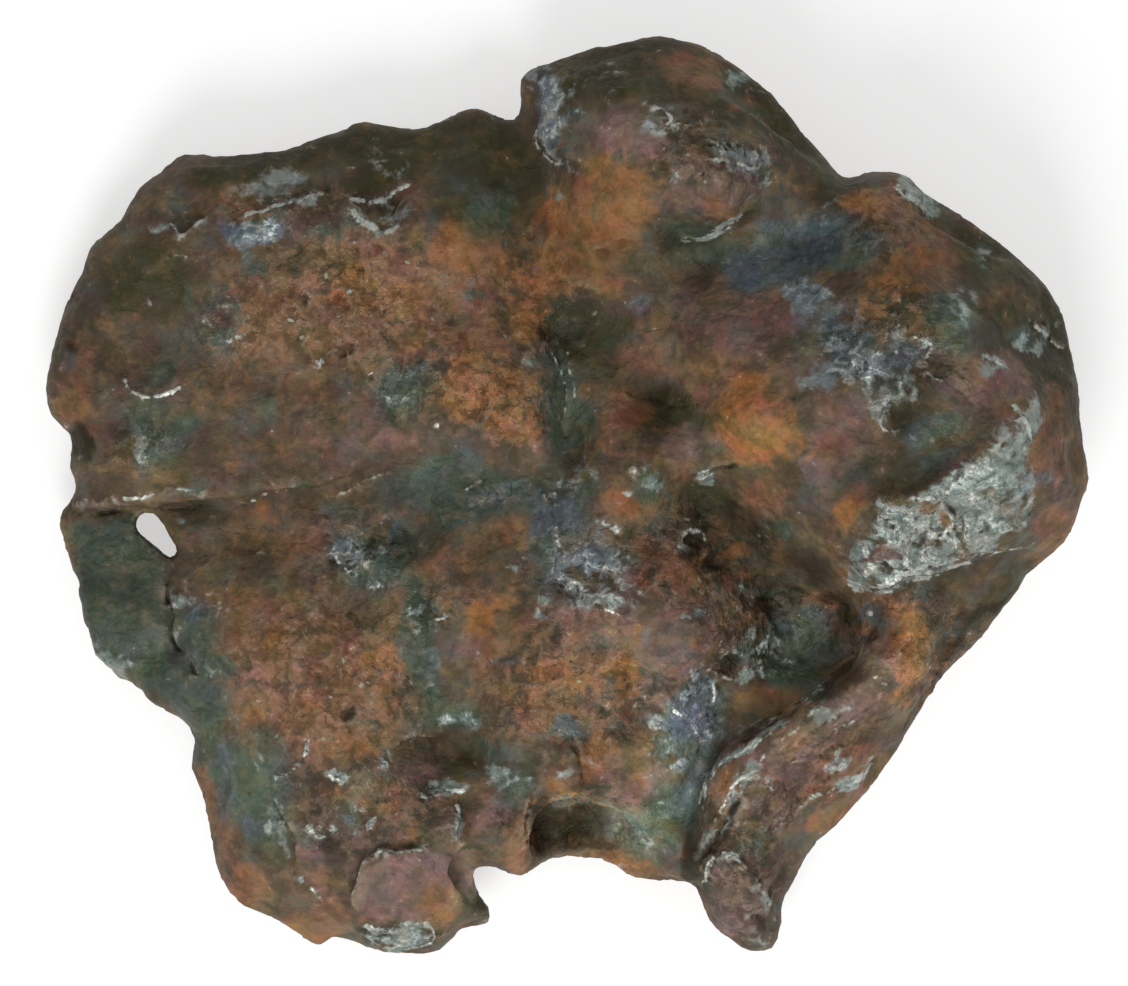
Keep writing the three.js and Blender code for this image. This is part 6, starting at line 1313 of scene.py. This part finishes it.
    # the crests are rubbed a little lighter, and soot-dark oxide sits in the narrow hollows; the broad
    # hollows get the same dark tone as painted shade, and so do the darkest stains where they are painted
    # shade
    rubbed = plan.cover(plan.plus(crest, plan.centred(fineNoise, 0.8)), *finish["rubbed"])
    coat.tint(rubbed, linear(veils["rubbed"]))
    hollow = plan.cover(plan.times(crest, -1.0), *finish["hollow"])
    broadHollowShade = plan.cover(plan.times(broad, -1.0), *finish["broadHollowShade"])
    sootAndShade = plan.cover(plan.plus(plan.field("soot_and_shade"), plan.times(wander, 0.6)), *finish["sootAndShade"])
    coat.lay(plan.larger(plan.larger(hollow, broadHollowShade), sootAndShade), "soot_and_shade")
    rough = plan.maths("ADD", coat.rough, plan.centred(fineNoise, 0.3), clamp=True)

    # scabs of rust with sharp lips, over soft grain
    grain = plan.noise(place, finish["grainSize"], 3, 0.6)
    scab = plan.ramp(scabNoise, 0.49, 0.52)
    height = plan.plus(plan.times(scab, finish["scabHeight"]), plan.times(grain, finish["grainHeight"]))
    bump = plan.add("ShaderNodeBump")
    bump.inputs["Strength"].default_value = finish["bumpStrength"]
    bump.inputs["Distance"].default_value = finish["bumpDepth"] * mm
    plan.feed(bump.inputs["Height"], plan.times(height, plan.ramp(crumbled, 0.0, 1.0, (0.7, 1.1))))

    shader = plan.add("ShaderNodeBsdfPrincipled")
    plan.feed(shader.inputs["Base Color"], coat.colour)
    plan.feed(shader.inputs["Roughness"], rough)
    plan.feed(shader.inputs["Metallic"], coat.metal)
    plan.feed(shader.inputs["Normal"], bump.outputs["Normal"])
    shader.inputs["Specular IOR Level"].default_value = finish["specular"]
    output = plan.add("ShaderNodeOutputMaterial")
    plan.feed(output.inputs["Surface"], shader.outputs["BSDF"])
    return material


lump.data.materials.append(buildCrust())
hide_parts("meteorite")
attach(lump, "root")
print("material built")

# The studio, in metres unless it says otherwise
studio = {
    "floorTone": 0.55, "floorGlow": 0.55,
    "floorHalf": 3.0,
    "floorDrop": 0.0002,       # how far the floor lies below the lump, so that the two don't flicker
    "skyStrength": 0.5,
    "keyPower": 20.0, "keySize": 0.9, "keyAt": [-0.2, -1.25, 1.2],     # it stands beyond the broken edge
    "fillPower": 2.0, "fillSize": 1.2, "fillAt": [0.9, 0.7, 1.1],
    "lightsAim": [0, 0, 0.02],
    "lens": 600.0,             # mm
    "sensor": 36.0,            # mm
    "pictureWidth": 259.4,     # mm across the picture at the aim height
    "aimHeight": 14.0,         # mm above the floor
    "aimOffset": [-0.46, 0.69],    # mm
}


def addSoftLight(name, place, size, power):
    lamp = bpy.data.lights.new(name, "AREA")
    lamp.shape = "DISK"
    lamp.size = size
    lamp.energy = power
    thing = bpy.data.objects.new(name, lamp)
    thing.location = place
    thing.rotation_euler = (Vector(studio["lightsAim"]) - Vector(place)).to_track_quat("-Z", "Y").to_euler()
    thing.visible_camera = False
    bpy.context.scene.collection.objects.link(thing)


def addFloor():
    half = studio["floorHalf"]
    mesh = bpy.data.meshes.new("floor")
    corners = [(-half, -half, 0), (half, -half, 0), (half, half, 0), (-half, half, 0)]
    mesh.from_pydata(corners, [], [(0, 1, 2, 3)])
    floor = bpy.data.objects.new("floor", mesh)
    floor.location.z = -studio["floorDrop"]
    material = bpy.data.materials.new("pale_floor")
    material.use_nodes = True
    shader = material.node_tree.nodes["Principled BSDF"]
    shader.inputs["Base Color"].default_value = (studio["floorTone"],) * 3 + (1,)
    shader.inputs["Roughness"].default_value = 0.9
    shader.inputs["Specular IOR Level"].default_value = 0.1
    shader.inputs["Emission Color"].default_value = (1, 1, 1, 1)
    shader.inputs["Emission Strength"].default_value = studio["floorGlow"]
    mesh.materials.append(material)
    bpy.context.scene.collection.objects.link(floor)
    return floor


def addSky():
    world = bpy.data.worlds.new("studio")
    world.use_nodes = True
    background = world.node_tree.nodes["Background"]
    background.inputs["Color"].default_value = (1, 1, 1, 1)
    background.inputs["Strength"].default_value = studio["skyStrength"]
    bpy.context.scene.world = world


def addCamera():
    lens = bpy.data.cameras.new("camera")
    lens.lens = studio["lens"]
    lens.sensor_width = studio["sensor"]
    lens.clip_start, lens.clip_end = 0.05, 20.0
    away = studio["pictureWidth"] * studio["lens"] / lens.sensor_width
    camera = bpy.data.objects.new("camera", lens)
    camera.location = [value * mm for value in (*studio["aimOffset"], studio["aimHeight"] + away)]
    bpy.context.scene.collection.objects.link(camera)
    bpy.context.scene.camera = camera


addFloor()
addSoftLight("key", studio["keyAt"], studio["keySize"], studio["keyPower"])
addSoftLight("fill", studio["fillAt"], studio["fillSize"], studio["fillPower"])
addSky()
addCamera()
bpy.context.scene.view_settings.view_transform = "Standard"
print("studio ready")
